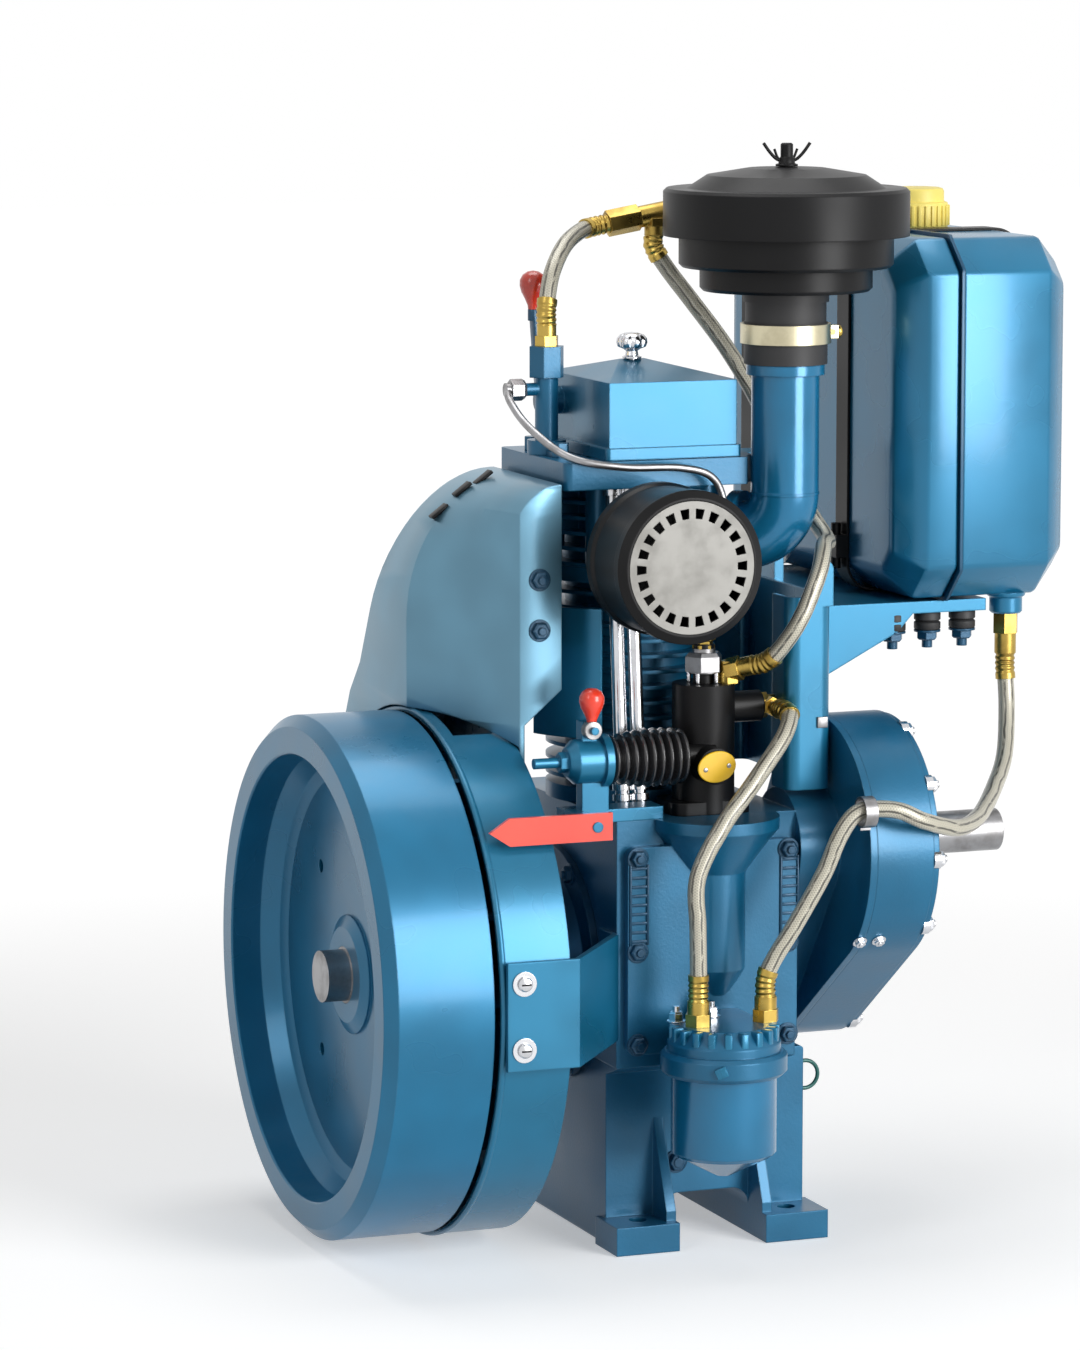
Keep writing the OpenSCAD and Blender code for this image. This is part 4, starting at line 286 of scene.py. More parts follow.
def mixColours(tree, factor, a, b):
    return addNode(tree, "ShaderNodeMix", {0: factor, 6: a, 7: b}, data_type="RGBA").outputs[2]


def scaleColour(colour, factor, lift=0.0):
    return tuple(min(1.0, c * factor + lift) for c in colour)


def makeEdgeGroup():
    # Rounded edges for the shading, and a mask of the strip along them that is painted paler: partly wear,
    # partly a painted highlight
    tree, given, out = makeGroup("edgeSoftening", [("Radius", "NodeSocketFloat", 0.0012),
                                                   ("Patchiness", "NodeSocketFloat", 0.5)],
                                 [("Mask", "NodeSocketFloat"), ("Normal", "NodeSocketVector")])
    soft = addNode(tree, "ShaderNodeBevel", {"Radius": given["Radius"]}, samples=4).outputs["Normal"]
    flat = addNode(tree, "ShaderNodeNewGeometry").outputs["True Normal"]
    dot = addNode(tree, "ShaderNodeVectorMath", {0: soft, 1: flat}, operation="DOT_PRODUCT").outputs["Value"]
    patch = rangeNode(tree, noiseNode(tree, 60.0, 4.0), given["Patchiness"],
                      mathNode(tree, "ADD", given["Patchiness"], 0.2))
    # The edge strip: partly wear, partly a painted highlight
    edgeWearAndHighlight = mathNode(tree, "MULTIPLY", rangeNode(tree, dot, 0.97, 0.80), patch)
    feed(tree, out, {"Mask": edgeWearAndHighlight, "Normal": soft})
    return tree


def makeGrainGroup():
    # Sand-cast or pressed grain: a height for bump and a slow change of tone
    tree, given, out = makeGroup("surfaceGrain", [("Scale", "NodeSocketFloat", 400.0),
                                                  ("Waviness", "NodeSocketFloat", 0.3)],
                                 [("Height", "NodeSocketFloat"), ("Tone", "NodeSocketFloat")])
    fine = noiseNode(tree, given["Scale"], 4.0, 0.6)
    slow = noiseNode(tree, 14.0, 2.0, 0.5)
    waves = mathNode(tree, "MULTIPLY", slow, given["Waviness"])
    feed(tree, out, {"Height": mathNode(tree, "ADD", fine, waves), "Tone": rangeNode(tree, slow, 0.3, 0.7)})
    return tree


def makeDustGroup():
    # Dust that settles in patches on faces that look up
    tree, given, out = makeGroup("settledDust", [("Amount", "NodeSocketFloat", 0.15)],
                                 [("Mask", "NodeSocketFloat")])
    normal = addNode(tree, "ShaderNodeNewGeometry").outputs["Normal"]
    up = rangeNode(tree, addNode(tree, "ShaderNodeSeparateXYZ", {"Vector": normal}).outputs["Z"], 0.55, 1.0)
    patch = rangeNode(tree, noiseNode(tree, 35.0, 5.0, 0.65), 0.35, 0.75)
    both = mathNode(tree, "MULTIPLY", up, patch)
    feed(tree, out, {"Mask": mathNode(tree, "MULTIPLY", both, given["Amount"])})
    return tree


def makeTurningGroup():
    # Fine turning or rolling lines on bare metal
    tree, given, out = makeGroup("toolMarks", [("Scale", "NodeSocketFloat", 900.0)],
                                 [("Height", "NodeSocketFloat"), ("Tone", "NodeSocketFloat")])
    lines = noiseNode(tree, given["Scale"], 2.0, 0.5, stretch=(1.0, 0.06, 0.06))
    smudge = rangeNode(tree, noiseNode(tree, 40.0, 4.0, 0.6), 0.35, 0.7)
    feed(tree, out, {"Height": lines, "Tone": smudge})
    return tree


edgeGroup = makeEdgeGroup()
grainGroup = makeGrainGroup()
dustGroup = makeDustGroup()
turningGroup = makeTurningGroup()


def placeGroup(tree, group, **values):
    node = addNode(tree, "ShaderNodeGroup", node_tree=group)
    feed(tree, node, values)
    return node.outputs


def newFinish(name, metallic, roughness, coat=0.0, coatRoughness=0.1):
    material = bpy.data.materials.new(name)
    material.use_nodes = True
    tree = material.node_tree
    tree.nodes.clear()
    shader = addNode(tree, "ShaderNodeBsdfPrincipled", {"Metallic": metallic, "Roughness": roughness,
                                                        "Coat Weight": coat, "Coat Roughness": coatRoughness})
    addNode(tree, "ShaderNodeOutputMaterial", {"Surface": shader.outputs["BSDF"]})
    return material, tree, shader


def bumpInto(tree, shader, height, strength, distance, normal=None):
    bump = addNode(tree, "ShaderNodeBump", {"Height": height, "Strength": strength, "Distance": distance})
    if normal is not None:
        feed(tree, bump, {"Normal": normal})
    feed(tree, shader, {"Normal": bump.outputs["Normal"]})


def paintFinish(name, colour, metallic=0.45, roughness=0.36, coat=0.25, grain=500.0, grainDepth=0.00025,
                wearAndHighlight=0.25, wearAndHighlightColour=None, edgeRadius=0.0015, dust=0.05, light=1.10, dark=0.90):
    # Sprayed paint: slow changes of tone, paler edges that are partly wear and partly a painted highlight,
    # dust on top and the metal's grain below it
    material, tree, shader = newFinish(name, metallic, roughness, coat, 0.12)
    edge = placeGroup(tree, edgeGroup, Radius=edgeRadius, Patchiness=0.62 - 0.4 * wearAndHighlight)
    skin = placeGroup(tree, grainGroup, Scale=grain, Waviness=0.5)
    dusting = placeGroup(tree, dustGroup, Amount=dust)["Mask"]
    toned = mixColours(tree, skin["Tone"], scaleColour(colour, dark), scaleColour(colour, light))
    # Paler edges: partly wear, partly a painted highlight
    edgeWearAndHighlight = mixColours(tree, mathNode(tree, "MULTIPLY", edge["Mask"], wearAndHighlight), toned,
                      wearAndHighlightColour or scaleColour(colour, 0.9, 0.35))
    rough = mathNode(tree, "ADD", roughness, mathNode(tree, "MULTIPLY", dusting, 0.5))
    shine = mathNode(tree, "ADD", rough, mathNode(tree, "MULTIPLY", skin["Tone"], 0.07), True)
    dusty = mixColours(tree, dusting, edgeWearAndHighlight, (0.42, 0.41, 0.38))
    feed(tree, shader, {"Base Color": dusty, "Roughness": shine})
    bumpInto(tree, shader, skin["Height"], 0.35, grainDepth, edge["Normal"])
    return material


def bareFinish(name, colour, roughness=0.28, tint=(0.30, 0.28, 0.26), marks=900.0, depth=0.00006, soil=0.4,
               edgeRadius=0.0006):
    # Bare or plated metal with tool marks, a little staining and a painted highlight that brightens the edges
    material, tree, shader = newFinish(name, 1.0, roughness)
    edge = placeGroup(tree, edgeGroup, Radius=edgeRadius, Patchiness=0.4)
    turning = placeGroup(tree, turningGroup, Scale=marks)
    stain = mathNode(tree, "MULTIPLY", turning["Tone"], soil)
    stained = mixColours(tree, stain, colour, tint)
    # Edges painted brighter: a painted highlight
    bright = mixColours(tree, mathNode(tree, "MULTIPLY", edge["Mask"], 0.4), stained,
                        scaleColour(colour, 1.25, 0.05))
    shine = mathNode(tree, "ADD", roughness, mathNode(tree, "MULTIPLY", stain, 0.25), True)
    feed(tree, shader, {"Base Color": bright, "Roughness": shine})
    bumpInto(tree, shader, turning["Height"], 0.3, depth, edge["Normal"])
    return material


def mouldedFinish(name, colour, roughness=0.45, grain=900.0, depth=0.0001, coat=0.0, dust=0.08):
    # Moulded rubber or plastic with a matt skin
    material, tree, shader = newFinish(name, 0.0, roughness, coat, 0.08)
    skin = placeGroup(tree, grainGroup, Scale=grain, Waviness=0.2)
    dusting = placeGroup(tree, dustGroup, Amount=dust)["Mask"]
    toned = mixColours(tree, skin["Tone"], scaleColour(colour, 0.8), scaleColour(colour, 1.2))
    shine = mathNode(tree, "ADD", roughness, mathNode(tree, "MULTIPLY", skin["Tone"], 0.08))
    dusty = mixColours(tree, dusting, toned, (0.4, 0.39, 0.36))
    feed(tree, shader, {"Base Color": dusty, "Roughness": shine})
    bumpInto(tree, shader, skin["Height"], 0.3, depth)
    return material


def braidFinish(name, pale, dark, coreLines=6):
    # Woven sleeve under a clear skin: dark strands along the hose and a fine crossing weave, on its UV map
    material, tree, shader = newFinish(name, 0.25, 0.38, 0.35, 0.15)
    uv = addNode(tree, "ShaderNodeUVMap", uv_map="hoseWay").outputs["UV"]
    split = addNode(tree, "ShaderNodeSeparateXYZ", {"Vector": uv}).outputs
    wander = noiseNode(tree, 1.6, 2.0, 0.5, vector=uv, stretch=(0.0, 2.0, 0.0))
    turn = mathNode(tree, "ADD", mathNode(tree, "MULTIPLY", split["X"], coreLines * 2 * math.pi),
                    mathNode(tree, "MULTIPLY", wander, 5.0))
    strand = rangeNode(tree, mathNode(tree, "SINE", turn), 0.45, 0.95)
    broken = rangeNode(tree, noiseNode(tree, 9.0, 3.0, 0.6, vector=uv, stretch=(3.0, 1.2, 1.0)), 0.30, 0.52)
    strands = mathNode(tree, "MULTIPLY", strand, broken)
    around = mathNode(tree, "MULTIPLY", split["X"], 24 * math.pi)
    along = mathNode(tree, "MULTIPLY", split["Y"], 300.0)
    left, right = [mathNode(tree, "SINE", mathNode(tree, way, along, around)) for way in ("ADD", "SUBTRACT")]
    weave = mathNode(tree, "MAXIMUM", left, right)
    woven = mixColours(tree, rangeNode(tree, weave, -0.2, 0.9), scaleColour(pale, 0.62), pale)
    covered = mixColours(tree, mathNode(tree, "MULTIPLY", strands, 0.85), woven, dark)
    feed(tree, shader, {"Base Color": covered})
    height = mathNode(tree, "SUBTRACT", mathNode(tree, "MULTIPLY", weave, 0.4), strands)
    bumpInto(tree, shader, height, 0.4, 0.0003)
    return material


# In the paint finishes the last number and the black paint's edge colour set the paler edges, partly wear and
# partly a painted highlight
finishes = {
    "blue_casting": paintFinish("castingBlue", (0.006, 0.120, 0.235), 0.30, 0.30, 0.10, 420, 0.0003, 0.22),
    "blue_dark_casting": paintFinish("castingDeepBlue", (0.003, 0.062, 0.130), 0.28, 0.32, 0.10, 420,
                                     0.0003, 0.18),
    "blue_sheet": paintFinish("sheetBlue", (0.010, 0.160, 0.290), 0.38, 0.26, 0.12, 900, 0.00006, 0.2),
    "tank_blue": paintFinish("tankBlue", (0.010, 0.155, 0.290), 0.34, 0.24, 0.18, 1200, 0.00004, 0.2),
    "flywheel_blue": paintFinish("flywheelBlue", (0.006, 0.155, 0.300), 0.36, 0.27, 0.15, 700, 0.00008, 0.25),
    "pipe_blue": paintFinish("pipeBlue", (0.006, 0.150, 0.300), 0.3, 0.18, 0.3, 300, 0.00015, 0.2),
    "duct_silver": paintFinish("ductPaint", (0.13, 0.29, 0.40), 0.6, 0.30, 0.15, 900, 0.00005, 0.15),
    "black_paint": paintFinish("satinBlack", (0.0035, 0.0035, 0.004), 0.0, 0.36, 0.0, 700, 0.00008, 0.06,
                               wearAndHighlightColour=(0.06, 0.06, 0.06), dust=0.01),
    "face_silver": bareFinish("brushedFace", (0.175, 0.172, 0.162), 0.46, (0.13, 0.126, 0.116), 500,
                              0.00005, 0.35),
    "steel": bareFinish("machinedSteel", (0.34, 0.34, 0.35), 0.30, (0.10, 0.09, 0.08), 900, 0.00008, 0.55),
    "zinc": bareFinish("brightPlate", (0.66, 0.67, 0.70), 0.16, (0.34, 0.33, 0.31), 600, 0.00003, 0.3),
    "piston_alloy": bareFinish("turnedAlloy", (0.70, 0.70, 0.71), 0.26, (0.45, 0.44, 0.42), 1100,
                               0.00006, 0.3),
    "gear_iron": bareFinish("hobbedIron", (0.24, 0.24, 0.25), 0.38, (0.09, 0.08, 0.07), 800, 0.0001, 0.5),
    "bronze": bareFinish("turnedBronze", (0.60, 0.36, 0.12), 0.30, (0.25, 0.14, 0.05), 900, 0.00006, 0.4),
    "brass": bareFinish("turnedBrass", (0.50, 0.35, 0.085), 0.26, (0.17, 0.10, 0.025), 900, 0.00008, 0.6),
    "rubber": mouldedFinish("blackRubber", (0.012, 0.012, 0.013), 0.50),
    "hose_cover": braidFinish("wovenHose", (0.56, 0.53, 0.43), (0.018, 0.018, 0.016)),
    "red": mouldedFinish("glossRed", (0.80, 0.045, 0.018), 0.26, 500, 0.00004, 0.5),
    "yellow": mouldedFinish("yellowPlastic", (0.80, 0.66, 0.16), 0.42, 600, 0.0001),
    "green_wire": paintFinish("greenWire", (0.006, 0.10, 0.085), 0.2, 0.35, 0.2, 600, 0.00004, 0.2),
}
finishes["black_paint"].node_tree.nodes["Principled BSDF"].inputs["Specular IOR Level"].default_value = 0.2


def dressNodes():
    # Every node of the frame takes the finish of its own slot
    slotOf = {part["node"]: part["material_slot"] for part in frame["record"]["subparts"]}
    for name, node in cadNodes.items():
        finish = finishes[slotOf[name]]
        node.data.materials.clear()
        node.data.materials.append(finish)
        for polygon in node.data.polygons:
            polygon.material_index = 0


dressNodes()
print("frame dressed:", len(cadNodes), "nodes")


# Hoses
hoseRoutes = {
    "radius": 6.5,
    "sides": 28,
    "pumpHose": [[-44, -186, 206], [-44, -186, 226], [-45, -187, 262], [-45, -186, 300], [-24, -182, 336],
                 [4, -174, 366], [34, -160, 396], [47, -146, 411], [48, -134, 415], [48, -124, 415]],
    "supplyHose": [[274, -50, 438], [274, -50, 426], [273, -56, 396], [260, -80, 362], [236, -112, 342],
                   [202, -156, 328], [168, -190, 326], [132, -208, 336], [112, -208, 345], [94, -203, 347],
                   [78, -201, 344], [66, -199, 328], [54, -195, 298], [34, -191, 262], [16, -187, 232],
                   [11, -186, 218], [11, -186, 206]],
    "overflowHose": [[-98, -8, 704], [-98, -8, 718], [-90, 2, 742], [-72, 22, 762], [-52, 40, 772],
                     [-38, 48, 774.9], [-26, 48, 777]],
    "tankHose": [[26, 48, 786], [38, 48, 788.1], [58, 52, 789], [86, 64, 780], [114, 80, 762], [138, 92, 740],
                 [152, 92, 740]],
    "returnHose": [[13, 47, 768], [13, 47, 758], [24, 44, 740], [40, 34, 716], [62, 16, 680], [80, -4, 640],
                   [91, -30, 596], [95, -66, 562], [96, -102, 541], [84, -124, 539], [72, -142, 520],
                   [54, -148, 486], [40, -140, 462], [32.4, -131.2, 452.6], [26, -124, 450]],
}


def makeHose(name, replaced):
    path = smoothPath(toMetres(hoseRoutes[name]))
    bm = bmesh.new()
    addTube(bm, path, hoseRoutes["radius"] * mm, hoseRoutes["sides"], uvName="hoseWay")
    hose = objectFrom(name, bm, finishes["hose_cover"], angle=60)
    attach(hose, "engine")
    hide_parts(replaced)
    return hose


for hoseName, replacedNode in (("pumpHose", "pump_hose"), ("supplyHose", "supply_hose"),
                               ("overflowHose", "overflow_hose"), ("tankHose", "overflow_hose"),
                               ("returnHose", "return_hose")):
    makeHose(hoseName, replacedNode)
print("hoses made")


# Repeated parts by geometry nodes
def newTree(name, inputs):
    geometry = "NodeSocketGeometry"
    inputs = [("Geometry", geometry, None)] + inputs + [("Finish", "NodeSocketMaterial", None)]
    return makeGroup(name, inputs, [("Geometry", geometry)], "GeometryNodeTree")


def liftBy(tree, geometry, height):
    # Moves a shape up its own axis
    lift = addNode(tree, "ShaderNodeCombineXYZ", {"Z": height}).outputs["Vector"]
    inputs = {"Geometry": geometry, "Translation": lift}
    return addNode(tree, "GeometryNodeTransform", inputs).outputs["Geometry"]


def roundStock(tree, sides, radius, height, base):
    rod = addNode(tree, "GeometryNodeMeshCylinder", {"Vertices": sides, "Radius": radius, "Depth": height})
    middle = mathNode(tree, "ADD", base, mathNode(tree, "MULTIPLY", height, 0.5))
    return liftBy(tree, rod.outputs["Mesh"], middle)


def joinAll(tree, shapes):
    join = tree.nodes.new("GeometryNodeJoinGeometry")
    for shape in shapes:
        tree.links.new(shape, join.inputs["Geometry"])
    return join.outputs["Geometry"]


def spreadOnPoints(tree, given, out, shape):
    # One copy on every point, turned to the point's own axis, then made real and given its finish
    axis = addNode(tree, "GeometryNodeInputNamedAttribute", {"Name": "axis"}, data_type="FLOAT_VECTOR")
    turn = addNode(tree, "FunctionNodeAlignRotationToVector", {"Vector": axis.outputs["Attribute"]}, axis="Z")
    spread = addNode(tree, "GeometryNodeInstanceOnPoints", {"Points": given["Geometry"], "Instance": shape,
                                                            "Rotation": turn.outputs["Rotation"]})
    real = addNode(tree, "GeometryNodeRealizeInstances", {"Geometry": spread.outputs["Instances"]})
    finish = addNode(tree, "GeometryNodeSetMaterial", {"Geometry": real.outputs["Geometry"],
                                                       "Material": given["Finish"]})
    feed(tree, out, {"Geometry": finish.outputs["Geometry"]})


def makeNutTree():
    # Washer, six-sided nut with a chamfered top, and the stud's end through it
    tree, given, out = newTree("nutOnStud", [
        ("Corner Radius", "NodeSocketFloat", 0.006), ("Nut Height", "NodeSocketFloat", 0.004),
        ("Washer Radius", "NodeSocketFloat", 0.008), ("Washer Thickness", "NodeSocketFloat", 0.0012),
        ("Stud Radius", "NodeSocketFloat", 0.003), ("Stud Height", "NodeSocketFloat", 0.002)])
    corner, height, washerTop = given["Corner Radius"], given["Nut Height"], given["Washer Thickness"]
    chamfer = mathNode(tree, "MULTIPLY", height, 0.22)
    body = mathNode(tree, "SUBTRACT", height, chamfer)
    crown = addNode(tree, "GeometryNodeMeshCone", {"Vertices": 6, "Depth": chamfer, "Radius Bottom": corner,
                                                   "Radius Top": mathNode(tree, "MULTIPLY", corner, 0.82)})
    shape = joinAll(tree, [
        roundStock(tree, 24, given["Washer Radius"], washerTop, 0.0),
        roundStock(tree, 6, corner, body, washerTop),
        liftBy(tree, crown.outputs["Mesh"], mathNode(tree, "ADD", washerTop, body)),
        roundStock(tree, 12, given["Stud Radius"], given["Stud Height"],
                   mathNode(tree, "ADD", washerTop, height))])
    spreadOnPoints(tree, given, out, shape)
    return tree


def makeRibRingTree():
    # A ring of ribs about each point's axis: knurls, flutes and crimps
    tree, given, out = newTree("ribRing", [
        ("Count", "NodeSocketInt", 24), ("Ring Radius", "NodeSocketFloat", 0.02),
        ("Rib Size", "NodeSocketVector", (0.002, 0.002, 0.01))])
    circle = addNode(tree, "GeometryNodeMeshCircle", {"Vertices": given["Count"],
                                                      "Radius": given["Ring Radius"]})
    rib = addNode(tree, "GeometryNodeMeshCube", {"Size": given["Rib Size"]})
    place = addNode(tree, "GeometryNodeInputPosition").outputs["Position"]
    outward = addNode(tree, "FunctionNodeAlignRotationToVector", {"Vector": place}, axis="X", pivot_axis="Z")
    ring = addNode(tree, "GeometryNodeInstanceOnPoints", {"Points": circle.outputs["Mesh"],
                                                          "Instance": rib.outputs["Mesh"],
                                                          "Rotation": outward.outputs["Rotation"]})
    spreadOnPoints(tree, given, out, ring.outputs["Instances"])
    return tree


def makeSlabTree():
    # A small slab on each point: rungs, clips and tabs
    tree, given, out = newTree("smallSlabs", [("Slab Size", "NodeSocketVector", (0.01, 0.002, 0.001))])
    slab = addNode(tree, "GeometryNodeMeshCube", {"Size": given["Slab Size"]})
    spreadOnPoints(tree, given, out, slab.outputs["Mesh"])
    return tree


nutTree = makeNutTree()
ribRingTree = makeRibRingTree()
slabTree = makeSlabTree()


def growPiece(name, points, axes, tree, finish, body="engine", bevel=0.0, **sizes):
    # Points that carry an axis each; the tree's result becomes the piece's own mesh
    mesh = bpy.data.meshes.new(name)
    mesh.from_pydata([tuple(p) for p in toMetres(points)], [], [])
    attribute = mesh.attributes.new("axis", "FLOAT_VECTOR", "POINT")
    for i in range(len(points)):
        attribute.data[i].vector = Vector(axes[i] if isinstance(axes, list) else axes)
    piece = addObject(name, mesh)
    modifier = piece.modifiers.new(name, "NODES")
    modifier.node_group = tree
    wanted = dict({label.replace("_", " "): value for label, value in sizes.items()}, Finish=finishes[finish])
    for item in tree.interface.items_tree:
        if item.item_type == "SOCKET" and item.in_out == "INPUT" and item.name in wanted:
            modifier[item.identifier] = wanted[item.name]
    if bevel:
        edges = piece.modifiers.new("softEdges", "BEVEL")
        edges.width, edges.segments, edges.limit_method = bevel * mm, 2, "ANGLE"
    settle(piece)
    shadeSmooth(piece, 35)
    finishPiece(piece, body)
    return piece


def growNuts(name, points, axes, finish, sizes):
    # sizes: corner radius, height, washer radius, washer thickness, stud radius, stud height
    labels = ("Corner_Radius", "Nut_Height", "Washer_Radius", "Washer_Thickness", "Stud_Radius",
              "Stud_Height")
    inputs = {label: size / 1000 for label, size in zip(labels, sizes)}
    return growPiece(name, points, axes, nutTree, finish, **inputs)


def finishPiece(piece, body="engine", replaced=()):
    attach(piece, body)
    if replaced:
        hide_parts(*replaced)


def makePiece(name, bm, finish, body="engine", replaced=(), angle=35):
    finishPiece(objectFrom(name, bm, finishes[finish], angle=angle), body, replaced)


# Nuts of the crankcase, duct and cowl
caseNuts = {"doorX": (-72, 52), "doorZ": (308, 236, 164), "doorY": -133, "screwX": -193, "screwZ": (184, 234),
            "screwY": -209.6, "housingX": -92, "housingRadius": 86.5, "ductX": -136, "ductZ": (480, 518.5),
            "ductY": -92}


def makeCaseNuts():
    points = [(x, caseNuts["doorY"], z) for x in caseNuts["doorX"] for z in caseNuts["doorZ"]]
    axes = [(0, -1, 0)] * 6
    for k in range(6):
        turn = math.radians(60 * k + 30)
        points.append((caseNuts["housingX"], caseNuts["housingRadius"] * math.sin(turn),
                       crankZ + caseNuts["housingRadius"] * math.cos(turn)))
        axes.append((-1, 0, 0))
    for z in caseNuts["ductZ"]:
        points.append((caseNuts["ductX"], caseNuts["ductY"], z))
        axes.append((0, -1, 0))
    piece = growNuts("caseNuts", points, axes, "blue_dark_casting", (6.8, 4.5, 8.6, 1.2, 3.2, 2.2))
    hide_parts("case_fasteners")
    growNuts("drainPlug", [(-25, -96, 62)], (0, -1, 0), "blue_dark_casting", (7.4, 5, 9.2, 1.5, 4, 0.8))
    # Slotted screws of the cowl plate, each on a wide washer
    growNuts("cowlWashers", [(caseNuts["screwX"], caseNuts["screwY"], z) for z in caseNuts["screwZ"]],
             (0, -1, 0), "zinc", (5.2, 1.2, 9.4, 1.2, 4.6, 0.6))
    bm = bmesh.new()
    for z in caseNuts["screwZ"]:
        place = (caseNuts["screwX"], caseNuts["screwY"] - 1.8, z)
        addSpin(bm, [(0, -0.4), (5.4, -0.4), (5.6, 1.2), (4.6, 2.6), (2.6, 3.2), (0, 3.3)], place,
                (0, -1, 0), 28)
    makePiece("cowlScrews", bm, "zinc")
    growPiece("screwSlots", [(caseNuts["screwX"], caseNuts["screwY"] - 4.9, z) for z in caseNuts["screwZ"]],
              (0, -1, 0), slabTree, "black_paint", Slab_Size=(0.0075, 0.0012, 0.0008))


makeCaseNuts()


# Fuel tank: two pressed halves that meet in a welded seam
tank = {"x0": 167.0, "x1": 313.0, "y0": -88.0, "y1": 270.0, "z0": 486.0, "z1": 767.0, "seamX": 215.5,
        "cut": 26.0, "chamfer": 21.0, "seamOut": 3.0, "neck": (246, 64), "outlet": (274, -50)}


def chamferedLoop(bm, x, inset, cut, soft=3.0):
    # Rounded eight-sided outline in the YZ plane
    y0, y1 = tank["y0"] + inset, tank["y1"] - inset
    z0, z1 = tank["z0"] + inset, tank["z1"] - inset
    corners = [(y0 + cut, z0), (y1 - cut, z0), (y1, z0 + cut), (y1, z1 - cut), (y1 - cut, z1), (y0 + cut, z1),
               (y0, z1 - cut), (y0, z0 + cut)]
    loop = []
    for i, corner in enumerate(corners):
        before, after = Vector(corners[i - 1]), Vector(corners[(i + 1) % 8])
        here = Vector(corner)
        a, b = (before - here).normalized() * soft, (after - here).normalized() * soft
        for t in (0.0, 0.5, 1.0):
            p = (here + a) * (1 - t) ** 2 + here * 2 * t * (1 - t) + (here + b) * t * t
            loop.append(bm.verts.new(Vector((x, p[0], p[1])) * mm))
    return loop


def skinLoops(bm, loops):
    # Faces between neighbouring loops, and a cap at each end
    for a, b in zip(loops, loops[1:]):
        for k in range(len(a)):
            n = (k + 1) % len(a)
            bm.faces.new((a[k], b[k], b[n], a[n]))
    bm.faces.new(loops[0])
    bm.faces.new(list(reversed(loops[-1])))


def makeTank():
    cut, chamfer, seam = tank["cut"], tank["chamfer"], tank["seamX"]
    # The pressed face: way in from the end, inset of the outline, share of the corner's cut
    face = [(0.0, chamfer + 6, 0.62), (0.3, chamfer, 0.68), (1.6, chamfer - 2.4, 0.7),
            (chamfer - 1.0, 1.2, 0.97), (chamfer + 2.0, 0.0, 1.0)]
    groove = [(3.5, 0.0), (2.2, 0.6), (1.4, 2.4)]
    rings = [(tank["x0"] + x, inset, cut * share) for x, inset, share in face]
    rings += [(seam - x, inset, cut) for x, inset in groove]
    rings += [(seam + x, inset, cut) for x, inset in reversed(groove)]
    rings += [(tank["x1"] - x, inset, cut * share) for x, inset, share in reversed(face)]
    bm = bmesh.new()
    skinLoops(bm, [chamferedLoop(bm, *ring) for ring in rings])
    # Neck with a rolled lip, and the outlet boss below
    neck = [(0, -2), (24, -2), (23, 2), (21.8, 4), (21.8, 11), (0, 11)]
    addSpin(bm, neck, (*tank["neck"], tank["z1"] - 1), (0, 0, 1), 40)
    boss = [(0, 1), (16, 1), (15, -2), (13, -3.5), (13, -14.5), (11.5, -16), (0, -16)]
    addSpin(bm, boss, (*tank["outlet"], tank["z0"]), (0, 0, 1), 36)
    makePiece("tankShells", bm, "tank_blue", replaced=["fuel_tank"], angle=24)
    # Seam flange, waved a little as a pressed rim is
    bm = bmesh.new()
    loops = [chamferedLoop(bm, seam - 1.0, 1.0, cut)]
    for half in (-1.3, 1.3):
        loops.append(chamferedLoop(bm, seam + half, -tank["seamOut"], cut))
        for k, vert in enumerate(loops[-1]):
            vert.co.x += 0.0004 * math.sin(k * 2.1)
    skinLoops(bm, loops + [chamferedLoop(bm, seam + 1.0, 1.0, cut)])
    makePiece("tankSeam", bm, "blue_dark_casting", angle=30)


makeTank()
print("tank made")


# Air duct between the cowl and the cylinder
duct = {"left": -210.0, "openX": -118.0, "footX": -148.0, "edgeX": -152.0, "front": 92.0, "back": 168.0,
        "bendZ": 480.0, "rise": 110.0, "reach": 88.0, "stepZ": 408.0, "slope": 26.0, "taperZ": 383.0,
        "footZ": 322.0, "backShare": 0.55, "edgeShare": 0.62, "sheet": 2.4, "softEdge": 0.7,
        "cowlRadius": 205.6, "cowlWidth": 58.0, "cornerCut": 34.0, "turnStep": 6,
        "window": (-86.0, 56.0, 460.0, 579.0), "clipTurns": (48, 63, 75)}


def ductRing(z):
    share = min(1.0, max(0.0, (z - duct["bendZ"]) / duct["rise"]))
    curve = duct["left"] + duct["reach"] * (1 - math.sqrt(max(0.0, 1 - share * share)))
    left = max(duct["left"], min(curve, duct["openX"] - 4.0))
    opened = min(1.0, max(0.0, (z - duct["stepZ"]) / duct["slope"]))
    right = duct["footX"] + (duct["openX"] - duct["footX"]) * opened
    edge = max(duct["edgeX"], right - (right - left) * duct["edgeShare"])
    back = duct["back"] - duct["backShare"] * max(0.0, z - duct["taperZ"])
    front = -duct["front"]
    corner = min(duct["cornerCut"], (right - left) / 3)
    y0, y1 = duct["window"][0], min(duct["window"][1], back - 2)
    return [(left, 0.0), (left + (edge - left) * 0.5, front * 0.5), (edge, front), (right, front),
            (right, y0), (right, y1), (right, back), (left + corner, back),
            (left + corner * 0.3, back - corner * 0.3), (left, back - corner)]


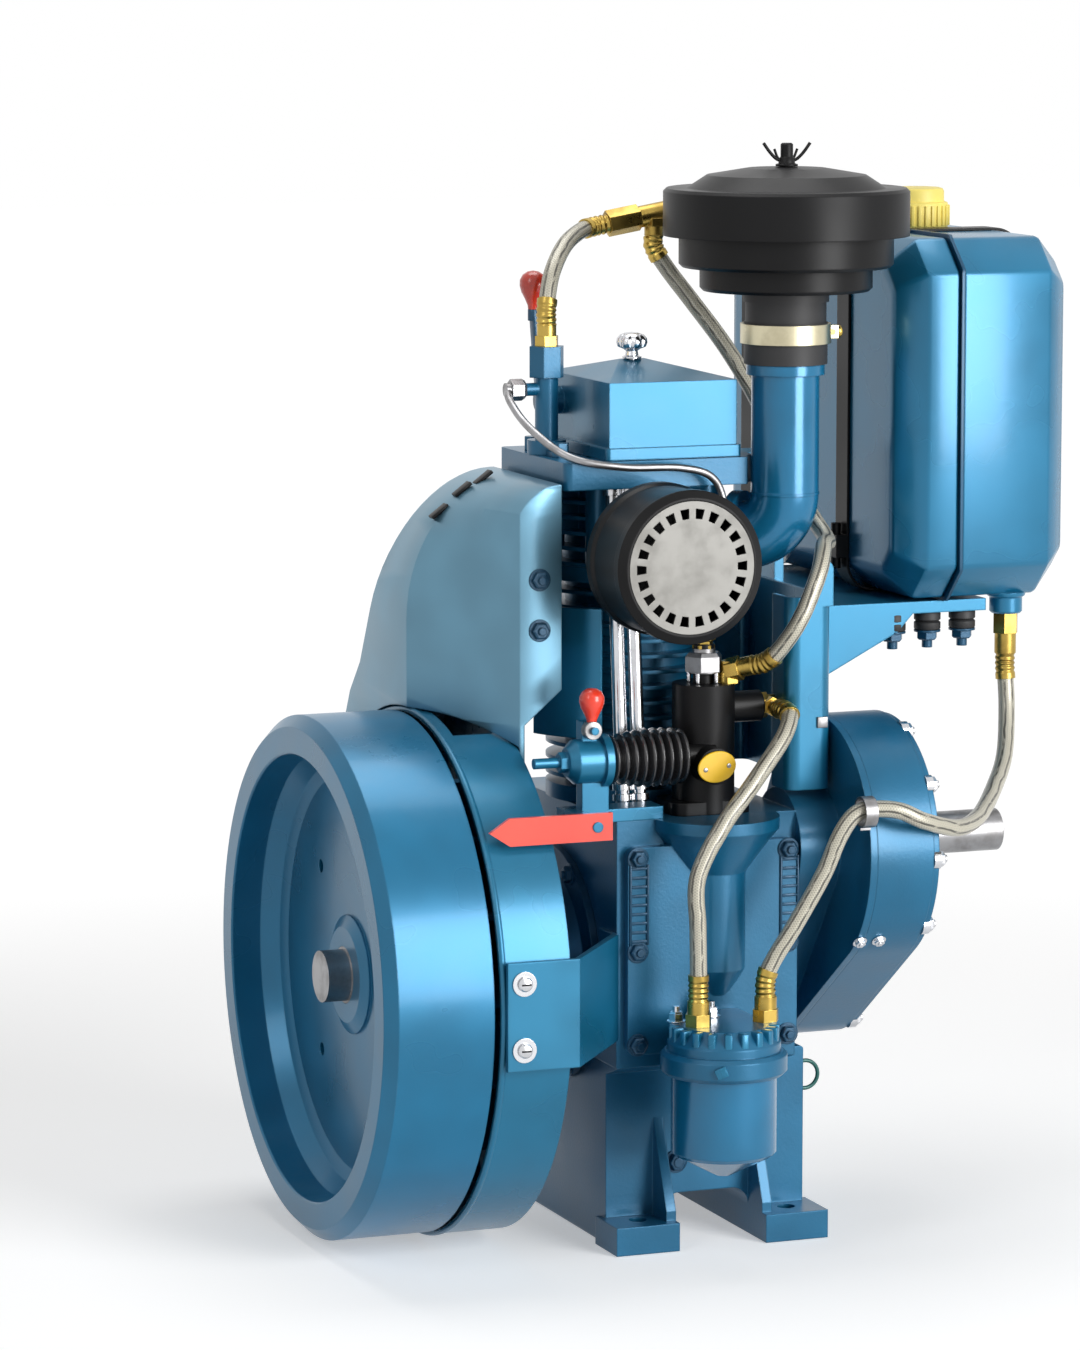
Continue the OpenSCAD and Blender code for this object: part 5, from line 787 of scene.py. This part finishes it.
def makeDuct():
    z0, z1 = duct["window"][2:]
    step, bend = duct["stepZ"], duct["bendZ"]
    straight = {duct["footZ"], duct["footZ"] + 30.0, duct["taperZ"], step, step + duct["slope"] / 2,
                step + duct["slope"], z0, z0 + 10.0, bend, z1, bend + duct["rise"]}
    turns = range(duct["turnStep"], 90, duct["turnStep"])
    levels = sorted(straight | {bend + duct["rise"] * math.sin(math.radians(turn)) for turn in turns})
    levels = [z for i, z in enumerate(levels) if i == 0 or z - levels[i - 1] > 0.4 or z in (z0, z1)]
    bm = bmesh.new()
    rings = [[bm.verts.new(Vector((x, y, z)) * mm) for x, y in ductRing(z)] for z in levels]
    for i in range(len(rings) - 1):
        for k in range(10):
            n = (k + 1) % 10
            if k == 4 and z0 - 0.1 <= levels[i] and levels[i + 1] <= z1 + 0.1:
                continue  # the window towards the cylinder
            bm.faces.new((rings[i][k], rings[i][n], rings[i + 1][n], rings[i + 1][k]))
    bm.faces.new(rings[-1])
    piece = objectFrom("airDuct", bm, finishes["duct_silver"], angle=28)
    shell = piece.modifiers.new("sheet", "SOLIDIFY")
    shell.thickness = duct["sheet"] * mm
    shell.offset = -1.0
    settle(piece)
    # The lower end is cut to the round of the cowl
    bm = bmesh.new()
    reach, width = duct["cowlRadius"], duct["cowlWidth"]
    addSpin(bm, [(0, -3), (reach, -3), (reach, width), (0, width)], (duct["left"], 0, crankZ), (1, 0, 0), 128)
    cutter = objectFrom("ductCutter", bm, finishes["duct_silver"])
    cut = piece.modifiers.new("cowlCut", "BOOLEAN")
    cut.object, cut.operation, cut.solver = cutter, "DIFFERENCE", "EXACT"
    settle(piece)
    bpy.data.objects.remove(cutter)
    bevelPiece(piece, duct["softEdge"], 2, 24)
    shadeSmooth(piece, 26)
    finishPiece(piece, replaced=["cowl_duct"])
    # Spring clips along the crest of the hood
    clips = []
    for turn in duct["clipTurns"]:
        z = bend + duct["rise"] * math.sin(math.radians(turn))
        clips.append((ductRing(z)[0][0] - 1.0, 4.0, z + 1.0))
    growPiece("ductClips", clips, (-0.6, 0.0, 0.8), slabTree, "black_paint", bevel=0.4,
              Slab_Size=(0.016, 0.009, 0.0026))


makeDuct()
print("duct made")


# Governor bellows
bellows = {"place": (-30.0, -121.0, 383.0), "length": 63.0, "folds": 9, "rootShare": 0.74, "thinRadius": 17.5,
           "thickRadius": 22.6}


def makeBellows():
    profile = []
    steps = bellows["folds"] * 10
    for i in range(steps + 1):
        t = i / steps
        thinning = max(0.0, 2 * t - 1) ** 1.4
        crest = bellows["thickRadius"] + (bellows["thinRadius"] - bellows["thickRadius"]) * thinning
        crest *= min(1.0, 0.86 + 1.4 * t)
        wave = (0.5 - 0.5 * math.cos(2 * math.pi * bellows["folds"] * t)) ** 0.62
        root = bellows["rootShare"]
        profile.append((crest * (root + (1 - root) * wave), bellows["length"] * t))
    profile = [(0, 0)] + profile + [(0, bellows["length"])]
    bm = bmesh.new()
    addSpin(bm, profile, bellows["place"], (-1, 0, 0), 48)
    piece = objectFrom("governorBellows", bm, finishes["gloss_rubber"], angle=60)
    finishPiece(piece, replaced=["governor_bellows"])


finishes["gloss_rubber"] = mouldedFinish("bellowsRubber", (0.02, 0.02, 0.022), 0.2, 500, 0.00005, 0.5, 0.05)
makeBellows()


# Knob of the rocker cover: a lobed casting on a short stem
knob = {"place": (-30.0, -14.0, 677.3), "lobes": 8, "lobeDepth": 0.13, "sides": 96}


def makeCoverKnob():
    bm = bmesh.new()
    profile = [(0, 0), (7.5, 0), (7.5, 1.2), (5.2, 2.2), (4.6, 5.5), (7.0, 7.2), (11.4, 9.0), (12.6, 12.0),
               (12.2, 15.0), (9.6, 18.0), (5.2, 19.6), (0, 20.2)]
    rings = []
    for r, h in profile:
        share = max(0.0, min(1.0, (h - 7.0) / 3.0)) * (1.0 if h < 17 else 0.5)
        ring = []
        for k in range(knob["sides"]):
            turn = 2 * math.pi * k / knob["sides"]
            rr = r * (1 - knob["lobeDepth"] * share * (0.5 - 0.5 * math.cos(knob["lobes"] * turn)) ** 2)
            ring.append((rr * math.cos(turn), rr * math.sin(turn), h))
        rings.append([bm.verts.new((Vector(knob["place"]) + Vector(p)) * mm) for p in
                      (ring if r > 0 else ring[:1])])
    joinRings(bm, rings)
    makePiece("coverKnobCasting", bm, "zinc", "cover_knob", ["cover_knob"], 50)


makeCoverKnob()


# Wing nut: a hub with two sprung wires
wingNut = {"place": (66.0, -90.0, 826.3), "wireRadius": 1.25}


def makeWingNut():
    x, y, z = wingNut["place"]
    bm = bmesh.new()
    hub = [(0, 0), (8.5, 0), (8.5, 1.5), (6.4, 2.2), (6.0, 6.0), (4.8, 7.2), (4.8, 16.5), (3.8, 17.6),
           (0, 17.6)]
    addSpin(bm, hub, wingNut["place"], (0, 0, 1), 32)
    for side in (-1, 1):
        route = [(x + side * 4, y, z + 4), (x + side * 8, y - side * 1, z + 5.5),
                 (x + side * 13, y - side * 2, z + 10.5), (x + side * 18, y - side * 3, z + 17.6)]
        addTube(bm, smoothPath(toMetres(route)), wingNut["wireRadius"] * mm, 12)
        inner = [(x + side * dx, y + dy, z + dz) for dx, dy, dz in ((4, 1.5, 3), (7, 2, 7), (9.5, 2, 13))]
        addTube(bm, smoothPath(toMetres(inner)), wingNut["wireRadius"] * mm * 0.8, 12)
    makePiece("wingNutWires", bm, "black_paint", "wing_nut", ["wing_nut"], 40)


makeWingNut()


# Filler cap: a knurled ring with a smaller top
fillerCap = {"place": (246.0, 64.0, 767.3), "radius": 25.4, "ribs": 30}


def makeFillerCap():
    bm = bmesh.new()
    addSpin(bm, [(0, 0.4), (24.6, 0.4), (25.4, 1.6), (25.4, 19.4), (24.6, 20.8), (22.6, 21.2), (22.2, 22.6),
                 (22.2, 29.6), (21.0, 31.6), (18.4, 32.4), (0, 32.5)], fillerCap["place"], (0, 0, 1), 64)
    x, y, z = fillerCap["place"]
    makePiece("fillerCapBody", bm, "yellow", "filler_cap", ["filler_cap"])
    growPiece("fillerCapRibs", [(x, y, z + 10.5)], (0, 0, 1), ribRingTree, "yellow", "filler_cap", bevel=0.4,
              Count=fillerCap["ribs"], Ring_Radius=fillerCap["radius"] * mm, Rib_Size=(0.003, 0.0026, 0.016))


makeFillerCap()
print("caps, knob and wing nut made")


# Levers: arms with red moulded knobs
levers = {"armPivot": (-93.0, 26.0, 643.0), "armTop": 712.0, "armThick": 4.0, "lean": 5.0, "leanFrom": 10.0,
          "speedPivotZ": 408.0, "speedKnobZ": 412.5, "speedKnobScale": 0.9}


def addKnob(bm, base, scale=1.0):
    # Pear-shaped knob that stands on its stem
    profile = [(0, -3), (3.6, -3), (3.9, 0), (4.4, 4), (6.6, 9), (9.2, 14), (10.6, 19), (10.4, 23.5),
               (8.2, 27.5), (4.4, 30), (0, 30.8)]
    addSpin(bm, [(r * scale, h * scale) for r, h in profile], base, (0, 0, 1), 36)


def makeDecompressionLever():
    x, y, z = levers["armPivot"]
    top, lean = levers["armTop"], levers["lean"]
    straight = z + levers["leanFrom"]

    def leaning(a, b, depth):
        out = lean * max(0.0, b - z - levers["leanFrom"]) / (top - straight)
        return Vector((x + depth - out, y + a, b))

    bm = bmesh.new()
    outline = [(-4.4, z - 6), (4.4, z - 6), (6.4, z), (5.8, z + 14), (4.6, top - 4), (2.6, top), (-2.6, top),
               (-4.6, top - 4), (-5.8, z + 14), (-6.4, z)]
    addPlate(bm, outline, leaning, levers["armThick"])
    hub = [(0, -1.6), (4, -1.6), (4.6, -1.2), (4.6, 0), (8.8, 0), (9.0, 0.4), (9.0, 6.7), (0, 6.7)]
    addSpin(bm, hub, (x, y, z), (1, 0, 0), 40)
    addRod(bm, 3.95, (x + 6.5, y, z), (1, 0, 0), 16)
    stemX = x + levers["armThick"] / 2 - lean
    addRod(bm, 4.2, (stemX, y, top - 7), (0, 0, 1), 9)
    arm = objectFrom("decompressionArm", bm, finishes["blue_dark_casting"], angle=40)
    bevelPiece(arm, 0.5)
    shadeSmooth(arm, 35)
    finishPiece(arm, "decompression_lever", ["decompression_lever"])
    bm = bmesh.new()
    addKnob(bm, (stemX, y, top + 1))
    makePiece("decompressionKnob", bm, "red", "decompression_lever", angle=50)


def makeSpeedLever():
    low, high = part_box("speed_lever")
    x, y, z = (low.x + high.x) / 2 / mm, (low.y + high.y) / 2 / mm, levers["speedPivotZ"]
    bm = bmesh.new()
    hub = [(0, -4.2), (6.6, -4.2), (7.2, -3.6), (7.2, 3.6), (6.6, 4.2), (0, 4.2)]
    addSpin(bm, hub, (x, y, z), (0, 1, 0), 36)
    addRod(bm, 3.2, (x, y, z + 2), (0, 0, 1), 9)
    makePiece("speedArm", bm, "steel", "speed_lever", ["speed_lever"], angle=40)
    bm = bmesh.new()
    addKnob(bm, (x, y, levers["speedKnobZ"]), levers["speedKnobScale"])
    makePiece("speedKnob", bm, "red", "speed_lever", angle=50)


makeDecompressionLever()
makeSpeedLever()


# Crimped brass sleeves on the hose ends
sleeves = {"length": 21.0, "radius": 7.9, "ridges": 4, "ridgeDepth": 0.75, "ridged": 0.8}


def makeSleeves():
    bm = bmesh.new()
    for name in ("pumpHose", "supplyHose", "overflowHose", "tankHose", "returnHose"):
        path = smoothPath(toMetres(hoseRoutes[name]), 12)
        for way in (path, list(reversed(path))):
            part, done = [way[0]], 0.0
            for a, b in zip(way, way[1:]):
                done += (b - a).length
                if done > sleeves["length"] * mm:
                    break
                part.append(b)
            fine = []
            for a, b in zip(part, part[1:]):
                fine += [a + (b - a) * t for t in (0.0, 0.25, 0.5, 0.75)]
            fine.append(part[-1])
            total = pathLength(fine)

            def crimp(reach, total=total):
                t = reach / total
                wave = 0.5 - 0.5 * math.cos(2 * math.pi * sleeves["ridges"] * min(1.0, t / sleeves["ridged"]))
                return (sleeves["radius"] - sleeves["ridgeDepth"] * wave * (t < sleeves["ridged"])) * mm
            addTube(bm, fine, 0, hoseRoutes["sides"], radiusAt=crimp)
    makePiece("hoseSleeves", bm, "brass", angle=50)


makeSleeves()


# Crankcase door: pressed rungs beside the nuts
doorDetail = {"x": (-72.0, 52.0), "y": -133.0, "zLow": 244.0, "zHigh": 300.0, "rungs": 9,
              "rungSize": (0.0145, 0.0022, 0.0016), "railSize": (0.0018, 0.062, 0.0022)}


def makeDoorDetail():
    d = doorDetail
    step = (d["zHigh"] - d["zLow"]) / (d["rungs"] - 1)
    middle = (d["zHigh"] + d["zLow"]) / 2
    for number, x in enumerate(d["x"]):
        rungs = [(x + 1.0, d["y"] - 0.5, d["zLow"] + step * i) for i in range(d["rungs"])]
        rails = [(x - 6.0, d["y"] - 0.4, middle), (x + 8.0, d["y"] - 0.4, middle)]
        for name, points, size, bevel in ((f"doorRungs{number}", rungs, d["rungSize"], 0.25),
                                          (f"doorRails{number}", rails, d["railSize"], 0.3)):
            growPiece(name, points, (0, -1, 0), slabTree, "blue_dark_casting", bevel=bevel, Slab_Size=size)


makeDoorDetail()


# Fuel filter: flutes of the head, lug of the flange, bleed screws
filterDetail = {"x": -23.0, "y": -186.0, "flutes": 20, "fluteZ": 177.5, "fluteRadius": 0.0365,
                "fluteSize": (0.0105, 0.0058, 0.0185), "lugAim": (-0.42, -0.91, 0), "lugZ": 159.5,
                "lugReach": 48.4, "lugSize": (0.009, 0.008, 0.005), "bleedZ": 186.8,
                "bleedPlaces": ((-30, 22), (2, 30))}


def makeFilterDetail():
    d = filterDetail
    x, y = d["x"], d["y"]
    growPiece("filterFlutes", [(x, y, d["fluteZ"])], (0, 0, 1), ribRingTree, "blue_sheet", bevel=0.9,
              Count=d["flutes"], Ring_Radius=d["fluteRadius"], Rib_Size=d["fluteSize"])
    aim = Vector(d["lugAim"]).normalized()
    place = Vector((x, y, d["lugZ"])) + aim * d["lugReach"]
    growPiece("filterLug", [tuple(place)], [tuple(aim)], slabTree, "blue_sheet", bevel=0.5,
              Slab_Size=d["lugSize"])
    points = [(x + dx, y + dy, d["bleedZ"]) for dx, dy in d["bleedPlaces"]]
    growNuts("filterBleed", points, (0, 0, 1), "zinc", (5.8, 7, 7.2, 1, 2.8, 4))


makeFilterDetail()


# Injection pump: delivery nut, studs, union and the yellow cover of the rack
pumpDetail = {"x": -5.0, "y": -100.0, "nutZ": 443.0, "studZ": 435.6, "unionZ": 460.5,
              "studs": ((-8, -8), (6, -11), (9, 4), (-10, 5)), "rack": (-11.0, -140.2, 376.0),
              "rackHalfWidth": 15.6, "rackHalfHeight": 12.0, "rackThick": 2.2, "rackTilt": 8,
              "rackScrews": ((9.5, 0.6), (-9.5, -1.8))}
finishes["clamp_band"] = bareFinish("clampBand", (0.62, 0.57, 0.40), 0.3, (0.33, 0.29, 0.19), 800,
                                    0.00006, 0.5)
finishes["cover_yellow"] = mouldedFinish("coverYellow", (0.90, 0.52, 0.012), 0.35, 500, 0.00005, 0.2, 0.03)
cadNodes["hose_clamp"].data.materials[0] = finishes["clamp_band"]


def makePumpHead():
    d = pumpDetail
    x, y = d["x"], d["y"]
    growNuts("pumpDeliveryNut", [(x, y, d["nutZ"])], (0, 0, 1), "steel", (15.2, 14.5, 12.2, 1, 9, 3))
    bm = bmesh.new()
    for dx, dy in d["studs"]:
        addRod(bm, 1.7, (x + dx, y + dy, d["studZ"]), (0, 0, 1), 7.6, 16)
    makePiece("pumpStuds", bm, "zinc", angle=40)
    bm = bmesh.new()
    union = [(0, 0), (8.8, 0), (8.8, 3.5), (7.2, 4.4), (7.2, 6.5), (9.4, 7.4), (9.4, 12.5), (6.0, 14.5),
             (0, 14.5)]
    addSpin(bm, union, (x, y, d["unionZ"]), (0, 0, 1), 6)
    makePiece("pumpUnion", bm, "brass", angle=30)


def makeRackCover():
    d = pumpDetail
    rack, tilt = Vector(d["rack"]), math.radians(d["rackTilt"])

    def tilted(a, b, depth):
        across = a * math.cos(tilt) - b * math.sin(tilt)
        return rack + Vector((across, -depth, a * math.sin(tilt) + b * math.cos(tilt)))

    bm = bmesh.new()
    turns = [2 * math.pi * k / 48 for k in range(48)]
    outline = [(d["rackHalfWidth"] * math.cos(turn), d["rackHalfHeight"] * math.sin(turn)) for turn in turns]
    addPlate(bm, outline, tilted, d["rackThick"])
    cover = objectFrom("rackCover", bm, finishes["cover_yellow"], angle=30)
    bevelPiece(cover, 0.7)
    finishPiece(cover)
    bm = bmesh.new()
    for dx, dz in d["rackScrews"]:
        place = rack + Vector((dx, 0.1 - d["rackThick"], dz))
        addSpin(bm, [(0, 0), (1.9, 0), (1.7, 0.7), (0, 1.1)], place, (0, -1, 0), 20)
    makePiece("rackScrews", bm, "steel", angle=40)


makePumpHead()
makeRackCover()


# Steel pipe from the pump to the injector, with its sleeve nut
deliveryPipe = {"radius": 3.0, "nut": (-132.0, -8, 655),
                "route": [[-5, -100, 470], [-4, -100, 482], [8, -101, 496], [14, -100, 530], [12, -99, 570],
                          [2, -98, 592], [-24, -97, 600], [-70, -97, 602], [-110, -88, 610], [-130, -56, 630],
                          [-134, -24, 648], [-128, -8, 655], [-120, -8, 655]]}


def makeDeliveryPipe():
    bm = bmesh.new()
    addTube(bm, smoothPath(toMetres(deliveryPipe["route"]), 8), deliveryPipe["radius"] * mm, 20)
    pipe = objectFrom("deliveryPipe", bm, finishes["steel"], angle=60)
    finishPiece(pipe, replaced=["injector_pipe"])
    growNuts("pipeNuts", [deliveryPipe["nut"]], (1, 0, 0), "steel", (8.5, 12, 5.5, 4, 5, 1))


makeDeliveryPipe()


# Tank bracket: bolts and rubber mounts under the shelf, and the small fasteners at the case's front
mounts = {"places": [(176, -50), (206, -50), (236, -50)], "top": 474.0, "deep": 14.2,
          "columnNut": (83.0, -125.0, 403.0), "columnNutSize": (0.0085, 0.0085, 0.004),
          "caseScrews": [(98, -165.2, 238.2), (114, -165.2, 238.2)], "caseSlope": (0, -72, -67)}


def makeMounts():
    bm = bmesh.new()
    deep = mounts["deep"]
    rubber = [(0, 0), (9.5, 0), (10.5, -1.2), (10.5, -6), (9, -7.2), (10.5, -8.4), (10.5, 1.2 - deep),
              (9.5, -deep), (0, -deep)]
    for x, y in mounts["places"]:
        addSpin(bm, rubber, (x, y, mounts["top"]), (0, 0, 1), 32)
    makePiece("tankRubbers", bm, "rubber", angle=40)
    growNuts("tankBolts", [(x, y, mounts["top"] - deep) for x, y in mounts["places"]], (0, 0, -1),
             "blue_dark_casting", (8.5, 6.5, 10.5, 1.6, 4.2, 6))
    growPiece("columnNut", [mounts["columnNut"]], (0, -1, 0), slabTree, "steel", bevel=0.4,
              Slab_Size=mounts["columnNutSize"])
    out = tuple(Vector(mounts["caseSlope"]).normalized())
    growNuts("caseScrews", mounts["caseScrews"], [out] * 2, "zinc", (4.2, 3, 5.6, 0.8, 1.8, 0.8))


makeMounts()


# Nuts round the timing cover's face
coverNuts = {"x": 148.0, "camY": -93.0, "camZ": 305.3, "camRadius": 92.5, "camTurns": range(20, 272, 36),
             "crankRadius": 66.0, "crankTurns": range(95, 247, 38)}


def makeCoverNuts():
    c = coverNuts
    points = []
    for turn in map(math.radians, c["camTurns"]):
        points.append((c["x"], c["camY"] - c["camRadius"] * math.sin(turn),
                       c["camZ"] + c["camRadius"] * math.cos(turn)))
    for turn in map(math.radians, c["crankTurns"]):
        points.append((c["x"], c["crankRadius"] * math.sin(turn), crankZ + c["crankRadius"] * math.cos(turn)))
    growNuts("coverNuts", points, (1, 0, 0), "zinc", (6.2, 4.5, 7.8, 6, 3, 2))


makeCoverNuts()


# Clamp screw of the rubber sleeve
clampScrew = {"head": (107.6, -90, 699.5), "bar": (103, -84, 699.5)}


def makeClampScrew():
    bm = bmesh.new()
    head = [(0, 0), (4.6, 0), (5.0, 0.6), (5.0, 3.2), (4.2, 4.2), (0, 4.4)]
    addSpin(bm, head, clampScrew["head"], (1, 0, 0), 24)
    addRod(bm, 2.2, clampScrew["bar"], (0, -1, 0), 12, 16)
    makePiece("clampScrew", bm, "brass", angle=40)


makeClampScrew()
print("details made")


# Studio
studio = {"floorSize": 14.0, "floorColour": (0.84, 0.84, 0.84), "fill": 0.10, "nearGlow": 0.40,
          "whiteFrom": 0.75, "whiteTo": 1.7,
          "lamps": [  # place, aimed at, width, height, watts
              ((1.7, -3.5, 1.3), (0.05, -0.1, 0.42), 1.9, 2.6, 160),
              ((-2.6, -1.7, 2.4), (-0.2, 0.0, 0.4), 0.8, 1.8, 16),
              ((0.1, 0.6, 3.2), (0.0, 0.0, 0.4), 2.0, 1.6, 36)]}


def lightPathSum(tree):
    # Camera, glossy and transmission rays see the plain white ground
    ray = addNode(tree, "ShaderNodeLightPath").outputs
    both = mathNode(tree, "ADD", ray["Is Camera Ray"], ray["Is Glossy Ray"])
    return mathNode(tree, "ADD", both, ray["Is Transmission Ray"], True)


def makeStudio():
    world = bpy.data.worlds.new("paleStudio")
    world.use_nodes = True
    bpy.context.scene.world = world
    tree = world.node_tree
    background = tree.nodes["Background"]
    strength = addNode(tree, "ShaderNodeMapRange", {"Value": lightPathSum(tree), "To Min": studio["fill"],
                                                    "To Max": 1.0}).outputs["Result"]
    feed(tree, background, {"Color": (1, 1, 1), "Strength": strength})

    bm = bmesh.new()
    bmesh.ops.create_grid(bm, x_segments=1, y_segments=1, size=studio["floorSize"])
    for vert in bm.verts:
        vert.co.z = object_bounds()[0][2] - 0.0004
    mesh = bpy.data.meshes.new("paleFloor")
    bm.to_mesh(mesh)
    bm.free()
    floor = addObject("paleFloor", mesh)
    material, tree, shader = newFinish("paleFloor", 0.0, 0.9)
    # Away from the engine the floor turns to plain white for the camera, so that no horizon shows
    place = addNode(tree, "ShaderNodeTexCoord").outputs["Object"]
    distance = addNode(tree, "ShaderNodeVectorMath", {0: place}, operation="LENGTH").outputs["Value"]
    near, far = studio["whiteFrom"], studio["whiteTo"]
    glow = rangeNode(tree, distance, near, far, studio["nearGlow"], 1.0)
    ground = mathNode(tree, "MULTIPLY", lightPathSum(tree), rangeNode(tree, distance, near, far))
    feed(tree, shader, {"Base Color": mixColours(tree, ground, studio["floorColour"], (0.0, 0.0, 0.0)),
                        "Specular IOR Level": 0.1, "Emission Color": (1, 1, 1),
                        "Emission Strength": mathNode(tree, "MULTIPLY", lightPathSum(tree), glow)})
    floor.data.materials.append(material)

    for number, (place, aim, width, height, watts) in enumerate(studio["lamps"]):
        data = bpy.data.lights.new(f"softLamp{number}", "AREA")
        data.shape = "RECTANGLE"
        data.size, data.size_y, data.energy = width, height, watts
        lamp = addObject(f"softLamp{number}", data)
        lamp.location = place
        lamp.rotation_euler = (Vector(aim) - Vector(place)).to_track_quat("-Z", "Y").to_euler()
    bpy.context.scene.view_settings.view_transform = "Standard"


makeStudio()
print("studio made")
